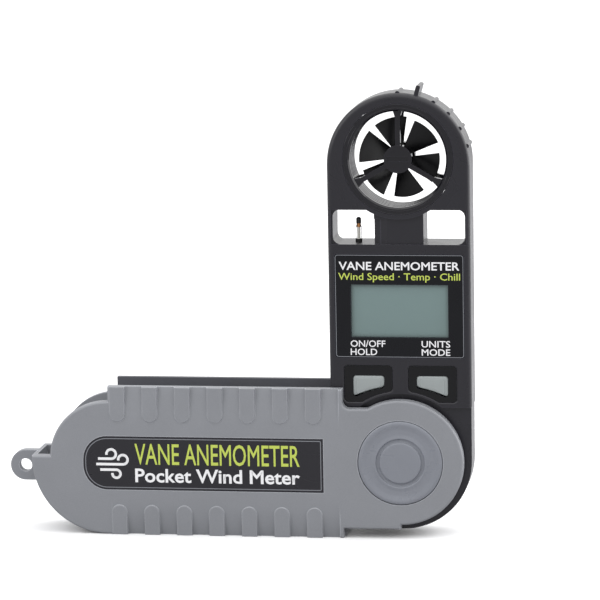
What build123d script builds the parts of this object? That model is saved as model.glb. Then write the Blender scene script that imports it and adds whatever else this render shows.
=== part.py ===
# Pocket vane anemometer with a flip cover, standing open at a right angle on the cover's long edge.
# +X runs from the cover's round end towards the pivot, +Y from the front to the back, +Z is up.
# The origin is the middle of the standing edge. Sizes are in millimetres.
# Profiles are drawn about the pivot, on planes that are parallel to the display.
from build123d import *
import os
from math import asin, degrees, radians, sin

# Overall sizes
ARM = 89.8                # pivot to the centre of the meter's round end
METER_WIDTH = 42.8
METER_DEPTH = 12.6
TONGUE_DEPTH = 9.6        # the thin end of the meter, between the cover's two cheeks
CASE_ROUND = 1.6          # rounding round the meter's faces
CASE_WALL = 1.5
SIDE_WALL = 1.8

# Cover
PLATE = 2.8
END_WALL = 1.2
CHEEK_INSET = 2.1         # rim of the tongue that shows round the cover's round end
CHEEK_STEP = 0.3          # the thick inside of a cheek stands back from its edge
SHOULDER_INSET = 5.7      # the plates' upper left corner inside the round end
GRIP_RISE = 1.0           # top edge of the plates above the closed meter's edge
GRIP_OVERLAP = 1.8        # the grip zone reaches this far past the cheek's left side
BRIDGE_DROP = 2.7         # bottom of the notch that clears the button panel, below the cheek's top
BRIDGE_RISE = 2.9         # plates' bottom edge near the pivot, above the standing edge
NOTCH_ROUND = 2.0
PLATE_ROUND = 0.7         # rounding of the plates' outer edges
SEAM = 2.0                # depth of the joint between the two shells
FIN_WIDTH = 4.7
FIN_PITCH = 10.0
FIN_COUNT = 7
FIN_RAISE = 0.25
FIN_ROUND = 0.2
FIN_TOP_START = 11.6
FIN_BOTTOM_START = -14.2
SCOOP_LEAD = 1.6          # the scooped surface starts this far before the fins
SCOOP_DEPTH = 1.1
SCOOP_MARGIN = 1.2        # full-depth rim left at the grip zone's right end
STRIP_HEIGHT = 4.5        # dark rail along the rear plate's top edge
LUG_RADIUS = 4.7
LUG_HOLE = 2.0
LUG_THICKNESS = 2.8
LUG_REACH = 3.8           # lug hole from the round end's outside
LUG_DROP = 4.0
LABEL_LENGTH = 73.8
LABEL_HEIGHT = 16.6
LABEL_LEAD = 7.3          # label's left end past the round end's centre
LABEL_DROP = 1.2
LABEL_ROUND = 7.4
LABEL_THICKNESS = 0.5

# Pivot
CAP_RADIUS = 12.85
CAP_SEAT = 1.5            # depth of the cap's pocket in the plate
CAP_DOME = 0.3
CAP_ROUND = 1.0
CAP_GROOVE_OUTER = 7.35
CAP_GROOVE_INNER = 6.25
CAP_GROOVE_DEPTH = 0.6
AXLE_RADIUS = 4.0
FLANGE_REACH = 2.0        # axle's flange outside its shaft
BUSH_WALL = 1.5
PIVOT_SCREW_RADIUS = 1.5
PIVOT_HEAD_RADIUS = 3.4
TONGUE_INSET = 0.2        # tongue's round end inside the case's side faces
TONGUE_WALL = 1.6
TONGUE_RIBS = 4
FRICTION_RING_RADIUS = 13.0
FRICTION_RING_WIDTH = 1.6

# Clearances
POCKET_GAP = 0.3          # meter face to the inside of a plate
FLOOR_GAP = 0.5           # meter edge to the cover's floor
SWING_GAP = 0.3           # thumb ribs to the cover's end wall
CHEEK_GAP = 0.1           # tongue to cheek
CHEEK_SWEEP = 1.6         # round the cheeks, for the meter's thick part
RUNNING_GAP = 0.05        # shaft in its bush
SEAT_GAP = 0.1            # parts that drop into a seat
PANE_GAP = 0.05

# Thumb ribs round the meter's top
RIB_HEIGHT = 0.5
RIB_RADIUS = 0.7
RIB_LENGTH = 10.0
RIB_STEP = 15
RIB_COUNT = 6
CATCH_HEIGHT = 2.9
CATCH_WIDTH = 1.3

# Meter face
NECK_DROP = 4.6           # lower end of the thick part at the sides, below the tongue's radius
DUCT_RAISE = 1.6          # duct's centre above the round end's centre
DUCT_RADIUS = 14.4
GUARD_WALL = 2.2
LIP_BEVEL = 0.5
DUCT_COLLAR = 1.2         # wall kept round the guard's seat
WINDOW_INNER = 7.4
WINDOW_MARGIN = 1.6       # side rail beside a window
WINDOW_DROP = 0.7         # window tops below the duct's ring
WINDOW_HEIGHT = 10.4
WINDOW_ROUND = 2.2
BAND_MARGIN = 1.1         # side rail left beside the sunk band that holds the windows
BAND_DEPTH = 0.8
COLUMN_BEVEL = 3.8        # width of the slope on the left of the middle column
COLUMN_SLOPE = 1.3        # depth of that slope
BAY_FLOOR = 2.0           # wall between the windows and the electronics
PANEL_MARGIN = 1.9
PANEL_RISE = 10.3         # panel's bottom above the tongue
PANEL_GAP = 2.9           # panel's top below the windows
PANEL_THICKNESS = 0.3
PANEL_ROUND = 0.8
LCD_WIDTH = 29.2
LCD_RISE = 6.3            # display's bottom above the panel's
LCD_DROP = 9.3            # display's top below the panel's
LCD_SINK = 1.0            # the display window lies this far below the meter's face
RECESS_INNER = 2.4
RECESS_OUTER = 17.0
RECESS_RISE = 7.9         # recesses' tops above the tongue
RECESS_GAP = 0.2          # recesses stay this far outside the tongue
RECESS_DEPTH = 0.8
RECESS_ROUND = 0.45
SURROUND_THICKNESS = 0.25
BUTTON_INNER = 4.9
BUTTON_OUTER = 14.3
BUTTON_RISE = 4.8         # buttons' tops above the tongue
BUTTON_INNER_SIDE = 3.7   # height of a button's inner side
BUTTON_OUTER_SIDE = 6.8   # height of its outer side
BUTTON_HOLLOW = 0.4       # a button's lower edge curves in by this much, round the pivot
PLUNGER_DROP = 1.4        # plungers' middles below the buttons' tops
MAT_DROP = 5.8            # keypad mat's lower edge below the buttons' tops
BUTTON_TRAVEL = 0.6

# Inside the meter
BOARD_THICKNESS = 1.0
BOARD_FRONT = 0.4
STRIP_DEPTH = 1.8         # elastomer contact strips between the board and the display
GLASS_DEPTH = 1.7
GLASS_EDGE = 1.9          # display glass outside the visible field
PANE_FLANGE = 1.4
HOLDER_WALL = 1.2
CELL_RADIUS = 10.0
CELL_DEPTH = 3.2
CELL_HEIGHT = 44.0
TOP_SCREW_RISE = 3.0      # upper screws above the windows' tops
LOW_SCREW_HEIGHT = 31.2
DOOR_LAND = 2.15          # door's edge outside the cell's
DOOR_THICKNESS = 1.1
DOOR_SEAL = 0.5
DOOR_TURN = 45
LUG_SPREAD = 14           # angle that a door lug covers
DOOR_LUG = 0.95
LUG_ROOT = 0.5            # a lug starts this far inside the door's edge
LUG_PLAY = 3              # angle of play at each end of a lug's channel
SCREW_RADIUS = 0.8
SCREW_HEAD = 1.9
SCREW_HEAD_DEPTH = 1.4
SCREW_REACH = 4.0         # depth of the pilot holes in the front case
BOSS_RADIUS = 2.2
PROBE_OFFSET = -12.7
PROBE_RADIUS = 0.5
PROBE_DROP = 3.0          # probe's tip below the window's top
SENSOR_WIDTH = 4.0
SENSOR_DEPTH = 2.8
SENSOR_HEIGHT = 3.0

# Impeller
BLADE_COUNT = 6
TIP_GAP = 2.3
BLADE_THICKNESS = 0.6
BLADE_HALF_ANGLE = 23
BLADE_PHASE = 46
IMPELLER_HUB = 3.0
IMPELLER_DEPTH = 4.4
GUARD_HUB = 4.2
SPOKE_COUNT = 3
SPOKE_WIDTH = 1.5
SPOKE_BACK = 3.6
SPOKE_FRONT = 5.2
SPINDLE_RADIUS = 0.3
JEWEL_RADIUS = 0.9
JEWEL_GAP = 0.03
JEWEL_DEPTH = 1.0
HUB_FRONT = 5.6           # outer face of a guard's hub
END_FLOAT = 0.7           # impeller body to the guard hubs, where the magnet fits

# Sizes that follow from those above
HALF_WIDTH = METER_WIDTH / 2
FLANGE_RADIUS = AXLE_RADIUS + FLANGE_REACH
TONGUE_RADIUS = HALF_WIDTH - TONGUE_INSET
CHEEK_RADIUS = TONGUE_RADIUS - CHEEK_INSET
NECK_START = TONGUE_RADIUS - NECK_DROP
GRIP_RIGHT = GRIP_OVERLAP - CHEEK_RADIUS
BRIDGE_TOP = CHEEK_RADIUS - BRIDGE_DROP
PANEL_BOTTOM = TONGUE_RADIUS + PANEL_RISE
LCD_BOTTOM = PANEL_BOTTOM + LCD_RISE
RECESS_TOP = TONGUE_RADIUS + RECESS_RISE
RECESS_SWEEP = TONGUE_RADIUS + RECESS_GAP
BUTTON_TOP = TONGUE_RADIUS + BUTTON_RISE
BUTTON_MIDDLE = BUTTON_TOP - BUTTON_INNER_SIDE
BUTTON_BOTTOM = BUTTON_TOP - BUTTON_OUTER_SIDE
GRIP_TOP = HALF_WIDTH + GRIP_RISE
DUCT_HEIGHT = ARM + DUCT_RAISE
GUARD_RADIUS = DUCT_RADIUS + GUARD_WALL
BLADE_RADIUS = DUCT_RADIUS - TIP_GAP
WINDOW_OUTER = HALF_WIDTH - WINDOW_MARGIN
PANEL_WIDTH = METER_WIDTH - 2 * PANEL_MARGIN
DOOR_RADIUS = CELL_RADIUS + DOOR_LAND
LABEL_LEFT = -ARM - LABEL_LEAD
FACE = METER_DEPTH / 2
TONGUE_FACE = TONGUE_DEPTH / 2
POCKET = FACE + POCKET_GAP
COVER_FACE = POCKET + PLATE
CHEEK_FACE = TONGUE_FACE + CHEEK_GAP
END_INNER = HALF_WIDTH + RIB_HEIGHT + SWING_GAP
END_RADIUS = END_INNER + END_WALL
BRIDGE_BOTTOM = BRIDGE_RISE - END_RADIUS
SHOULDER_RADIUS = END_RADIUS - SHOULDER_INSET
LUG_CENTRE = (-ARM - END_RADIUS - LUG_REACH, -LUG_DROP)
FLOOR_TOP = -HALF_WIDTH - FLOOR_GAP
LEDGE = LUG_RADIUS - LUG_DROP
GRIP_LEFT = -ARM + 0.6
CAP_FLOOR = COVER_FACE - CAP_SEAT
BORE_SEAT = GUARD_RADIUS + SEAT_GAP
BAY_WIDTH = METER_WIDTH - 2 * SIDE_WALL
WINDOW_TOP = DUCT_HEIGHT - DUCT_RADIUS - WINDOW_DROP
WINDOW_BOTTOM = WINDOW_TOP - WINDOW_HEIGHT
PANEL_TOP = WINDOW_BOTTOM - PANEL_GAP
LCD_TOP = PANEL_TOP - LCD_DROP
PROBE_TOP = WINDOW_TOP - PROBE_DROP
BAY_TOP = WINDOW_BOTTOM - BAY_FLOOR
BAY_BOTTOM = NECK_START + 1.4
BAY_FACE = FACE - CASE_WALL
COLUMN_TOP = DUCT_HEIGHT - BORE_SEAT - 1.5
SWEEP = CHEEK_RADIUS + CHEEK_SWEEP
PIVOT_X = (ARM - GRIP_RIGHT) / 2
PIVOT_Z = END_RADIUS
BOARD_BACK = BOARD_FRONT - BOARD_THICKNESS
GLASS_BACK = BOARD_FRONT + STRIP_DEPTH
GLASS_FRONT = GLASS_BACK + GLASS_DEPTH
DOOR_SEAT = -FACE + DOOR_THICKNESS + DOOR_SEAL
HEAD_BACK = -FACE + 0.1
HUB_FACE = IMPELLER_DEPTH / 2 + END_FLOAT

DUCT = (0, DUCT_HEIGHT)
ROUND_END = (0, ARM)
CELL = (0, CELL_HEIGHT)
TOP_SCREWS = [(side * (HALF_WIDTH - 2.8), WINDOW_TOP + TOP_SCREW_RISE) for side in (-1, 1)]
LOW_SCREWS = [(side * (BAY_WIDTH / 2 - 2.6), LOW_SCREW_HEIGHT) for side in (-1, 1)]
SCREWS = TOP_SCREWS + LOW_SCREWS
FINS = [-ARM + 3.6 + FIN_PITCH * i for i in range(FIN_COUNT)]
DUCT_AXIS = Axis((PIVOT_X, 0, PIVOT_Z + DUCT_HEIGHT), (0, 1, 0))


def level(depth):
    """Plane parallel to the display, this far in front of the middle of the thickness."""
    return Plane(origin=(PIVOT_X, -depth, PIVOT_Z), x_dir=(1, 0, 0), z_dir=(0, -1, 0))


def slab(profile, start, end, mode=Mode.ADD):
    """Extrude a flat profile between two depths, into the part that is being built."""
    with BuildSketch(level(start)) as section:
        add(profile)
    extrude(section.sketch, amount=end - start, mode=mode)


def disc(radius, centre=(0, 0)):
    """Flat disc."""
    with BuildSketch() as profile:
        with Locations(centre):
            Circle(radius)
    return profile.sketch


def ring(outer, inner, centre=(0, 0)):
    """Flat ring."""
    with BuildSketch() as profile:
        with Locations(centre):
            Circle(outer)
            Circle(inner, mode=Mode.SUBTRACT)
    return profile.sketch


def block(left, right, low, high, corner=0.0):
    """Flat rectangle between two X and two Z values, with optional round corners."""
    with BuildSketch() as profile:
        with Locations(((left + right) / 2, (low + high) / 2)):
            Rectangle(right - left, high - low)
        if corner:
            fillet(profile.vertices(), corner)
    return profile.sketch


def sector(outer, inner, centre, start, end):
    """Part of a flat ring between two angles."""
    with BuildSketch() as profile:
        with BuildLine():
            rim = CenterArc(centre, outer, start, end - start)
            bore = CenterArc(centre, inner, start, end - start)
            Line(rim @ 0, bore @ 0)
            Line(rim @ 1, bore @ 1)
        make_face()
    return profile.sketch


def save(part, name):
    """Label a finished piece and write it to its own file."""
    part.label = name
    export_step(part, f"parts/{name}.step")


os.makedirs("parts", exist_ok=True)

# ---------------------------------------------------------------- profiles

# One side plate of the cover: square grip zone, round left end with a ledge, round cheek at the pivot.
LEDGE_ANGLE = degrees(asin(LEDGE / END_RADIUS))
SHOULDER_ANGLE = degrees(asin(LEDGE / SHOULDER_RADIUS))
CHEEK_ANGLE = 180 - degrees(asin(BRIDGE_TOP / CHEEK_RADIUS))
with BuildSketch() as plate_outline:
    with BuildLine():
        base = Line((GRIP_RIGHT, -END_RADIUS), (-ARM, -END_RADIUS))
        toe = CenterArc((-ARM, 0), END_RADIUS, 270, -(90 + LEDGE_ANGLE))
        shoulder = CenterArc((-ARM, 0), SHOULDER_RADIUS, 180 - SHOULDER_ANGLE, SHOULDER_ANGLE - 90)
        Line(toe @ 1, shoulder @ 0)
        cheek = CenterArc((0, 0), CHEEK_RADIUS, CHEEK_ANGLE, -(CHEEK_ANGLE + 90))
        Polyline(
            shoulder @ 1,
            (GRIP_LEFT, SHOULDER_RADIUS),
            (GRIP_LEFT, GRIP_TOP),
            (GRIP_RIGHT, GRIP_TOP),
            (GRIP_RIGHT, BRIDGE_TOP),
            cheek @ 0,
        )
        Polyline(
            cheek @ 1,
            (0, BRIDGE_BOTTOM),
            (GRIP_RIGHT, BRIDGE_BOTTOM),
            base @ 0,
        )
    make_face()
    notch_corner = plate_outline.vertices().sort_by_distance((GRIP_RIGHT, BRIDGE_TOP, 0))[0]
    fillet(notch_corner, NOTCH_ROUND)

# The walls between the plates: the floor and the lower quarter of the round end.
with BuildSketch() as wall_outline:
    add(block(-ARM, GRIP_RIGHT, -END_RADIUS, FLOOR_TOP))
    add(sector(END_RADIUS, END_INNER, (-ARM, 0), 180 - LEDGE_ANGLE, 270))

# Label with a round left end.
with BuildSketch() as label_outline:
    add(block(
        LABEL_LEFT,
        LABEL_LEFT + LABEL_LENGTH,
        -LABEL_DROP - LABEL_HEIGHT / 2,
        -LABEL_DROP + LABEL_HEIGHT / 2,
    ))
    fillet(label_outline.vertices().group_by(Axis.X)[0], LABEL_ROUND)

# The meter's thick part, and the tongue that turns between the cheeks.
with BuildSketch() as meter_outline:
    with Locations(ROUND_END):
        Circle(HALF_WIDTH)
    add(block(-HALF_WIDTH, HALF_WIDTH, NECK_START, ARM))
    Circle(SWEEP, mode=Mode.SUBTRACT)
with BuildSketch() as tongue_outline:
    Circle(TONGUE_RADIUS)
    add(block(-TONGUE_RADIUS, TONGUE_RADIUS, 0, NECK_START + BAY_FLOOR))

# The tongue is hollow round the bush, with ribs that carry the drag of the friction rings.
BUSH_RADIUS = AXLE_RADIUS + RUNNING_GAP + BUSH_WALL
with BuildSketch() as tongue_hollow:
    Circle(TONGUE_RADIUS - TONGUE_WALL)
    Circle(BUSH_RADIUS + TONGUE_WALL, mode=Mode.SUBTRACT)
    with PolarLocations(TONGUE_RADIUS / 2, TONGUE_RIBS, 45):
        Rectangle(TONGUE_RADIUS, TONGUE_WALL, mode=Mode.SUBTRACT)

# The two air windows, cut away round the impeller's seat.
with BuildSketch() as window_outline:
    add(block(WINDOW_INNER, WINDOW_OUTER, WINDOW_BOTTOM, WINDOW_TOP))
    fillet(window_outline.vertices().group_by(Axis.X)[-1], WINDOW_ROUND)
    mirror(about=Plane.YZ)
    with Locations(DUCT):
        Circle(BORE_SEAT + DUCT_COLLAR, mode=Mode.SUBTRACT)

# The shallow band that the windows lie in.
with BuildSketch() as band_outline:
    add(block(BAND_MARGIN - HALF_WIDTH, HALF_WIDTH - BAND_MARGIN, WINDOW_BOTTOM, WINDOW_TOP))
    with Locations(DUCT):
        Circle(BORE_SEAT + DUCT_COLLAR, mode=Mode.SUBTRACT)

# The space for the electronics, which keeps a wall above the cheeks' sweep.
with BuildSketch() as bay_outline:
    add(block(-BAY_WIDTH / 2, BAY_WIDTH / 2, BAY_BOTTOM, BAY_TOP))
    Circle(SWEEP + CASE_WALL, mode=Mode.SUBTRACT)
with BuildSketch() as seal_outline:
    offset(bay_outline.sketch, amount=1.1, kind=Kind.INTERSECTION)
    offset(bay_outline.sketch, amount=0.5, kind=Kind.INTERSECTION, mode=Mode.SUBTRACT)
    # The probe's grommet seals its own gap.
    add(block(PROBE_OFFSET - 1.0, PROBE_OFFSET + 1.0, BAY_TOP, WINDOW_BOTTOM), mode=Mode.SUBTRACT)


def display_outline(grow):
    """Outline of the display, made larger all round."""
    return block(-LCD_WIDTH / 2 - grow, LCD_WIDTH / 2 + grow, LCD_BOTTOM - grow, LCD_TOP + grow)


def button_outline(side, grow):
    """Outline of a button on the left (-1) or right (1), made larger all round by a clearance."""
    with BuildSketch() as profile:
        with BuildLine():
            Polyline(
                (side * BUTTON_INNER, BUTTON_MIDDLE),
                (side * BUTTON_INNER, BUTTON_TOP),
                (side * BUTTON_OUTER, BUTTON_TOP),
                (side * BUTTON_OUTER, BUTTON_BOTTOM),
            )
            lower_corner = (side * BUTTON_OUTER, BUTTON_BOTTOM)
            SagittaArc(lower_corner, (side * BUTTON_INNER, BUTTON_MIDDLE), -side * BUTTON_HOLLOW)
        make_face()
        fillet(profile.vertices(), 0.8)
        if grow:
            offset(amount=grow, mode=Mode.REPLACE)
    return profile.sketch


def recess_outline(side, shrink):
    """Outline of the recess round a button, made smaller all round by a clearance."""
    inner = min(side * RECESS_INNER, side * RECESS_OUTER)
    outer = max(side * RECESS_INNER, side * RECESS_OUTER)
    with BuildSketch() as profile:
        add(block(inner, outer, BAY_BOTTOM, RECESS_TOP))
        Circle(RECESS_SWEEP, mode=Mode.SUBTRACT)
        fillet(profile.vertices(), 1.2)
        if shrink:
            offset(amount=-shrink, mode=Mode.REPLACE)
    return profile.sketch


# ---------------------------------------------------------------- cover


def scoop(side, start, edge):
    """Scoop the margin of a plate back towards its edge, between the fins."""
    left = FINS[0] - FIN_WIDTH / 2
    section_plane = Plane(origin=(PIVOT_X + left, 0, PIVOT_Z), x_dir=(0, 1, 0), z_dir=(1, 0, 0))
    upward = 1 if edge > start else -1
    face_y = -side * COVER_FACE
    with BuildSketch(section_plane) as section:
        with BuildLine():
            curve = TangentArc(
                (face_y, start),
                (face_y + side * SCOOP_DEPTH, edge),
                tangent=(0, upward),
            )
            Polyline(
                curve @ 1,
                (face_y - side * SCOOP_DEPTH, edge),
                (face_y - side * SCOOP_DEPTH, start),
                curve @ 0,
            )
        make_face()
    extrude(section.sketch, amount=GRIP_RIGHT - SCOOP_MARGIN - left, mode=Mode.SUBTRACT)


def fins(side, start, edge):
    """Raised fins with round inner ends, from the plate's inside to just above its face."""
    with BuildSketch() as profile:
        for fin_x in FINS:
            add(block(fin_x - FIN_WIDTH / 2, fin_x + FIN_WIDTH / 2, min(start, edge), max(start, edge)))
            with Locations((fin_x, start)):
                Circle(FIN_WIDTH / 2)
    slab(profile.sketch, side * POCKET, side * (COVER_FACE + FIN_RAISE))


def fin_edges(shell, side):
    """Edges of the fins' raised faces."""
    top_y = -side * (COVER_FACE + FIN_RAISE)
    return shell.edges().filter_by(lambda e: abs(e.center().Y - top_y) < 0.001)


def pivot_bores(side, bore_end):
    """Cap pocket, flange seat, axle bore and friction ring groove in one cheek."""
    slab(disc(CAP_RADIUS + SEAT_GAP), side * CAP_FLOOR, side * COVER_FACE, mode=Mode.SUBTRACT)
    slab(disc(FLANGE_RADIUS + SEAT_GAP), side * bore_end, side * CAP_FLOOR, mode=Mode.SUBTRACT)
    slab(disc(AXLE_RADIUS), side * CHEEK_FACE, side * bore_end, mode=Mode.SUBTRACT)
    groove = ring(FRICTION_RING_RADIUS, FRICTION_RING_RADIUS - FRICTION_RING_WIDTH)
    slab(groove, side * CHEEK_FACE, side * (CHEEK_FACE + 0.7), mode=Mode.SUBTRACT)


FRONT_SEAT = CHEEK_FACE + 0.8     # front end of the axle, where the washer sits
REAR_SEAT = CHEEK_FACE + 1.6      # underside of the axle's flange

with BuildPart() as cover_front_shell:
    slab(plate_outline.sketch, POCKET, COVER_FACE)
    fillet(cover_front_shell.faces().sort_by(Axis.Y)[0].edges(), PLATE_ROUND)
    slab(wall_outline.sketch, SEAM, POCKET)
    slab(disc(CHEEK_RADIUS - CHEEK_STEP), CHEEK_FACE, POCKET)
    scoop(1, FIN_TOP_START - SCOOP_LEAD, GRIP_TOP)
    scoop(1, FIN_BOTTOM_START + SCOOP_LEAD, -END_RADIUS)
    fins(1, FIN_TOP_START + FIN_WIDTH / 2, GRIP_TOP)
    fins(1, FIN_BOTTOM_START - FIN_WIDTH / 2, -END_RADIUS)
    fillet(fin_edges(cover_front_shell, 1), FIN_ROUND)
    pivot_bores(1, FRONT_SEAT)
    slab(label_outline.sketch, COVER_FACE - LABEL_THICKNESS, COVER_FACE, mode=Mode.SUBTRACT)
save(cover_front_shell.part, "cover_front_shell")

STRIP_LOW = GRIP_TOP - STRIP_HEIGHT
with BuildPart() as cover_rear_shell:
    slab(plate_outline.sketch, -POCKET, -COVER_FACE)
    fillet(cover_rear_shell.faces().sort_by(Axis.Y)[-1].edges(), PLATE_ROUND)
    slab(wall_outline.sketch, SEAM, -POCKET)
    slab(disc(CHEEK_RADIUS - CHEEK_STEP), -CHEEK_FACE, -POCKET)
    slab(block(GRIP_LEFT, GRIP_RIGHT, STRIP_LOW, GRIP_TOP), -POCKET, -COVER_FACE, mode=Mode.SUBTRACT)
    scoop(-1, FIN_BOTTOM_START + SCOOP_LEAD, -END_RADIUS)
    fins(-1, FIN_BOTTOM_START - FIN_WIDTH / 2, -END_RADIUS)
    fillet(fin_edges(cover_rear_shell, -1), FIN_ROUND)
    pivot_bores(-1, REAR_SEAT)
    with BuildSketch(level(-LUG_THICKNESS / 2)) as lug:
        with Locations(LUG_CENTRE):
            Circle(LUG_RADIUS)
        add(block(LUG_CENTRE[0], -ARM, -LUG_DROP - LUG_RADIUS, LEDGE))
        with Locations((-ARM, 0)):
            Circle(END_RADIUS - END_WALL / 2, mode=Mode.SUBTRACT)
        with Locations(LUG_CENTRE):
            Circle(LUG_HOLE, mode=Mode.SUBTRACT)
    extrude(amount=LUG_THICKNESS)
save(cover_rear_shell.part, "cover_rear_shell")

with BuildPart() as rear_grip_strip:
    slab(block(GRIP_LEFT, GRIP_RIGHT, STRIP_LOW, GRIP_TOP), -COVER_FACE, -POCKET)
    back_face = rear_grip_strip.faces().sort_by(Axis.Y)[-1]
    fillet(back_face.edges().sort_by(Axis.Z)[-1], 1.0)
save(rear_grip_strip.part, "rear_grip_strip")

with BuildPart() as cover_label:
    slab(label_outline.sketch, COVER_FACE - LABEL_THICKNESS, COVER_FACE)
    chamfer(cover_label.faces().sort_by(Axis.Y)[0].edges(), 0.12)
save(cover_label.part, "cover_label")

# ---------------------------------------------------------------- pivot


def pivot_cap(side):
    """Round cap with a rolled rim and a groove round its flat centre."""
    cap_face = COVER_FACE + CAP_DOME
    slab(disc(CAP_RADIUS), side * CAP_FLOOR, side * cap_face)
    groove = ring(CAP_GROOVE_OUTER, CAP_GROOVE_INNER)
    slab(groove, side * (cap_face - CAP_GROOVE_DEPTH), side * cap_face, mode=Mode.SUBTRACT)


def cap_rim(cap, end):
    """Outer edge of a cap's face; end is 0 for the front cap and -1 for the rear one."""
    return cap.edges().filter_by(GeomType.CIRCLE).group_by(Axis.Y)[end].sort_by(SortBy.RADIUS)[-1]


with BuildPart() as pivot_cap_front:
    pivot_cap(1)
    fillet(cap_rim(pivot_cap_front, 0), CAP_ROUND)
save(pivot_cap_front.part, "pivot_cap_front")

with BuildPart() as pivot_cap_rear:
    pivot_cap(-1)
    fillet(cap_rim(pivot_cap_rear, -1), CAP_ROUND)
save(pivot_cap_rear.part, "pivot_cap_rear")

with BuildPart() as pivot_axle:
    slab(disc(AXLE_RADIUS), -REAR_SEAT, FRONT_SEAT)
    slab(disc(FLANGE_RADIUS), -CAP_FLOOR, -REAR_SEAT)
    slab(disc(PIVOT_SCREW_RADIUS), -REAR_SEAT, FRONT_SEAT, mode=Mode.SUBTRACT)
save(pivot_axle.part, "pivot_axle")

WASHER_THICKNESS = 0.6
with BuildPart() as pivot_washer:
    slab(ring(FLANGE_RADIUS, PIVOT_SCREW_RADIUS + SEAT_GAP), FRONT_SEAT, FRONT_SEAT + WASHER_THICKNESS)
save(pivot_washer.part, "pivot_washer")

with BuildPart() as pivot_screw:
    slab(disc(PIVOT_SCREW_RADIUS), -TONGUE_FACE, FRONT_SEAT + WASHER_THICKNESS)
    slab(disc(PIVOT_HEAD_RADIUS), FRONT_SEAT + WASHER_THICKNESS, CAP_FLOOR)
    for cross in (block(-2, 2, -0.35, 0.35), block(-0.35, 0.35, -2, 2)):
        slab(cross, CAP_FLOOR - 0.7, CAP_FLOOR, mode=Mode.SUBTRACT)
save(pivot_screw.part, "pivot_screw")

# Nylon rings in the cheeks' grooves drag on the tongue, so that the meter stays where it is put.
for side, name in ((1, "friction_ring_front"), (-1, "friction_ring_rear")):
    with BuildPart() as friction_ring:
        slab(
            ring(FRICTION_RING_RADIUS, FRICTION_RING_RADIUS - FRICTION_RING_WIDTH),
            side * (TONGUE_FACE + CHEEK_GAP / 2),
            side * (CHEEK_FACE + 0.7),
        )
    save(friction_ring.part, name)

# ---------------------------------------------------------------- meter case


def case_half(side):
    """Half of the meter's case, with its duct seat, windows, bay and bush bore."""
    slab(meter_outline.sketch, 0, side * FACE)


def face_rim(face):
    """The long sides and the round end of the meter's face, without its edge round the cheek."""
    return face.edges().filter_by(lambda e: e.center().Z > PIVOT_Z + SWEEP + 5)


def rib_profile(index):
    """One thumb rib on the round end; the second one is taller and works as a catch."""
    angle = 90 - RIB_STEP * index
    with BuildSketch() as profile:
        if index == 1:
            foot = HALF_WIDTH - RIB_RADIUS
            with Locations(ROUND_END):
                with PolarLocations(foot + (RIB_RADIUS + CATCH_HEIGHT) / 2, 1, angle):
                    Rectangle(RIB_RADIUS + CATCH_HEIGHT, CATCH_WIDTH)
            fillet(profile.vertices(), 0.45)
        else:
            with Locations(ROUND_END):
                with PolarLocations(HALF_WIDTH + RIB_HEIGHT - RIB_RADIUS, 1, angle):
                    Circle(RIB_RADIUS)
    return profile.sketch


def case_openings(side):
    """Cut what passes through or into one half of the case, and add its screw bosses."""
    slab(tongue_outline.sketch, 0, side * TONGUE_FACE)
    slab(disc(BORE_SEAT, DUCT), 0, side * FACE, mode=Mode.SUBTRACT)
    slab(window_outline.sketch, 0, side * FACE, mode=Mode.SUBTRACT)
    slab(band_outline.sketch, side * (FACE - BAND_DEPTH), side * FACE, mode=Mode.SUBTRACT)
    slab(bay_outline.sketch, 0, side * BAY_FACE, mode=Mode.SUBTRACT)
    for screw in LOW_SCREWS:
        slab(disc(BOSS_RADIUS, screw), 0, side * BAY_FACE)
    slab(tongue_hollow.sketch, 0, side * (TONGUE_FACE - TONGUE_WALL), mode=Mode.SUBTRACT)
    slab(disc(BUSH_RADIUS), 0, side * TONGUE_FACE, mode=Mode.SUBTRACT)
    column = block(SIDE_WALL - WINDOW_INNER, WINDOW_INNER - SIDE_WALL, BAY_TOP, COLUMN_TOP)
    slab(column, 0, side * BAY_FACE, mode=Mode.SUBTRACT)
    sensor_slot = block(-SENSOR_WIDTH / 2, SENSOR_WIDTH / 2, COLUMN_TOP, DUCT_HEIGHT - BORE_SEAT + 0.5)
    slab(sensor_slot, 0, side * SENSOR_DEPTH / 2, mode=Mode.SUBTRACT)
    probe_plane = Plane(origin=(PIVOT_X + PROBE_OFFSET, 0, PIVOT_Z + BAY_TOP), z_dir=(0, 0, 1))
    with BuildSketch(probe_plane) as probe_hole:
        Circle(1.0)
    extrude(probe_hole.sketch, amount=BAY_FLOOR, mode=Mode.SUBTRACT)
    for index in range(RIB_COUNT):
        slab(rib_profile(index), 0, side * RIB_LENGTH / 2)


def bevel_column():
    """Slope the left part of the column between the windows back towards the left window."""
    across = Plane(origin=(PIVOT_X, 0, PIVOT_Z + WINDOW_BOTTOM), z_dir=(0, 0, 1))
    floor_y = BAND_DEPTH - FACE
    with BuildSketch(across) as wedge:
        with BuildLine():
            Polyline(
                (-WINDOW_INNER, floor_y),
                (-WINDOW_INNER, floor_y + COLUMN_SLOPE),
                (-WINDOW_INNER + COLUMN_BEVEL, floor_y),
                close=True,
            )
        make_face()
    collar_bottom = DUCT_HEIGHT - BORE_SEAT - DUCT_COLLAR
    extrude(wedge.sketch, amount=collar_bottom - WINDOW_BOTTOM, mode=Mode.SUBTRACT)


def recess_rims(case):
    """Edges where the button recesses meet the meter's face."""
    front_edges = case.edges().filter_by(lambda e: abs(e.center().Y + FACE) < 0.001)
    low, high = PIVOT_Z + SWEEP, PIVOT_Z + RECESS_TOP + 0.01
    in_panel = front_edges.filter_by(lambda e: low < e.center().Z < high)
    return in_panel.filter_by(lambda e: abs(e.center().X - PIVOT_X) < RECESS_OUTER + 0.01)


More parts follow.
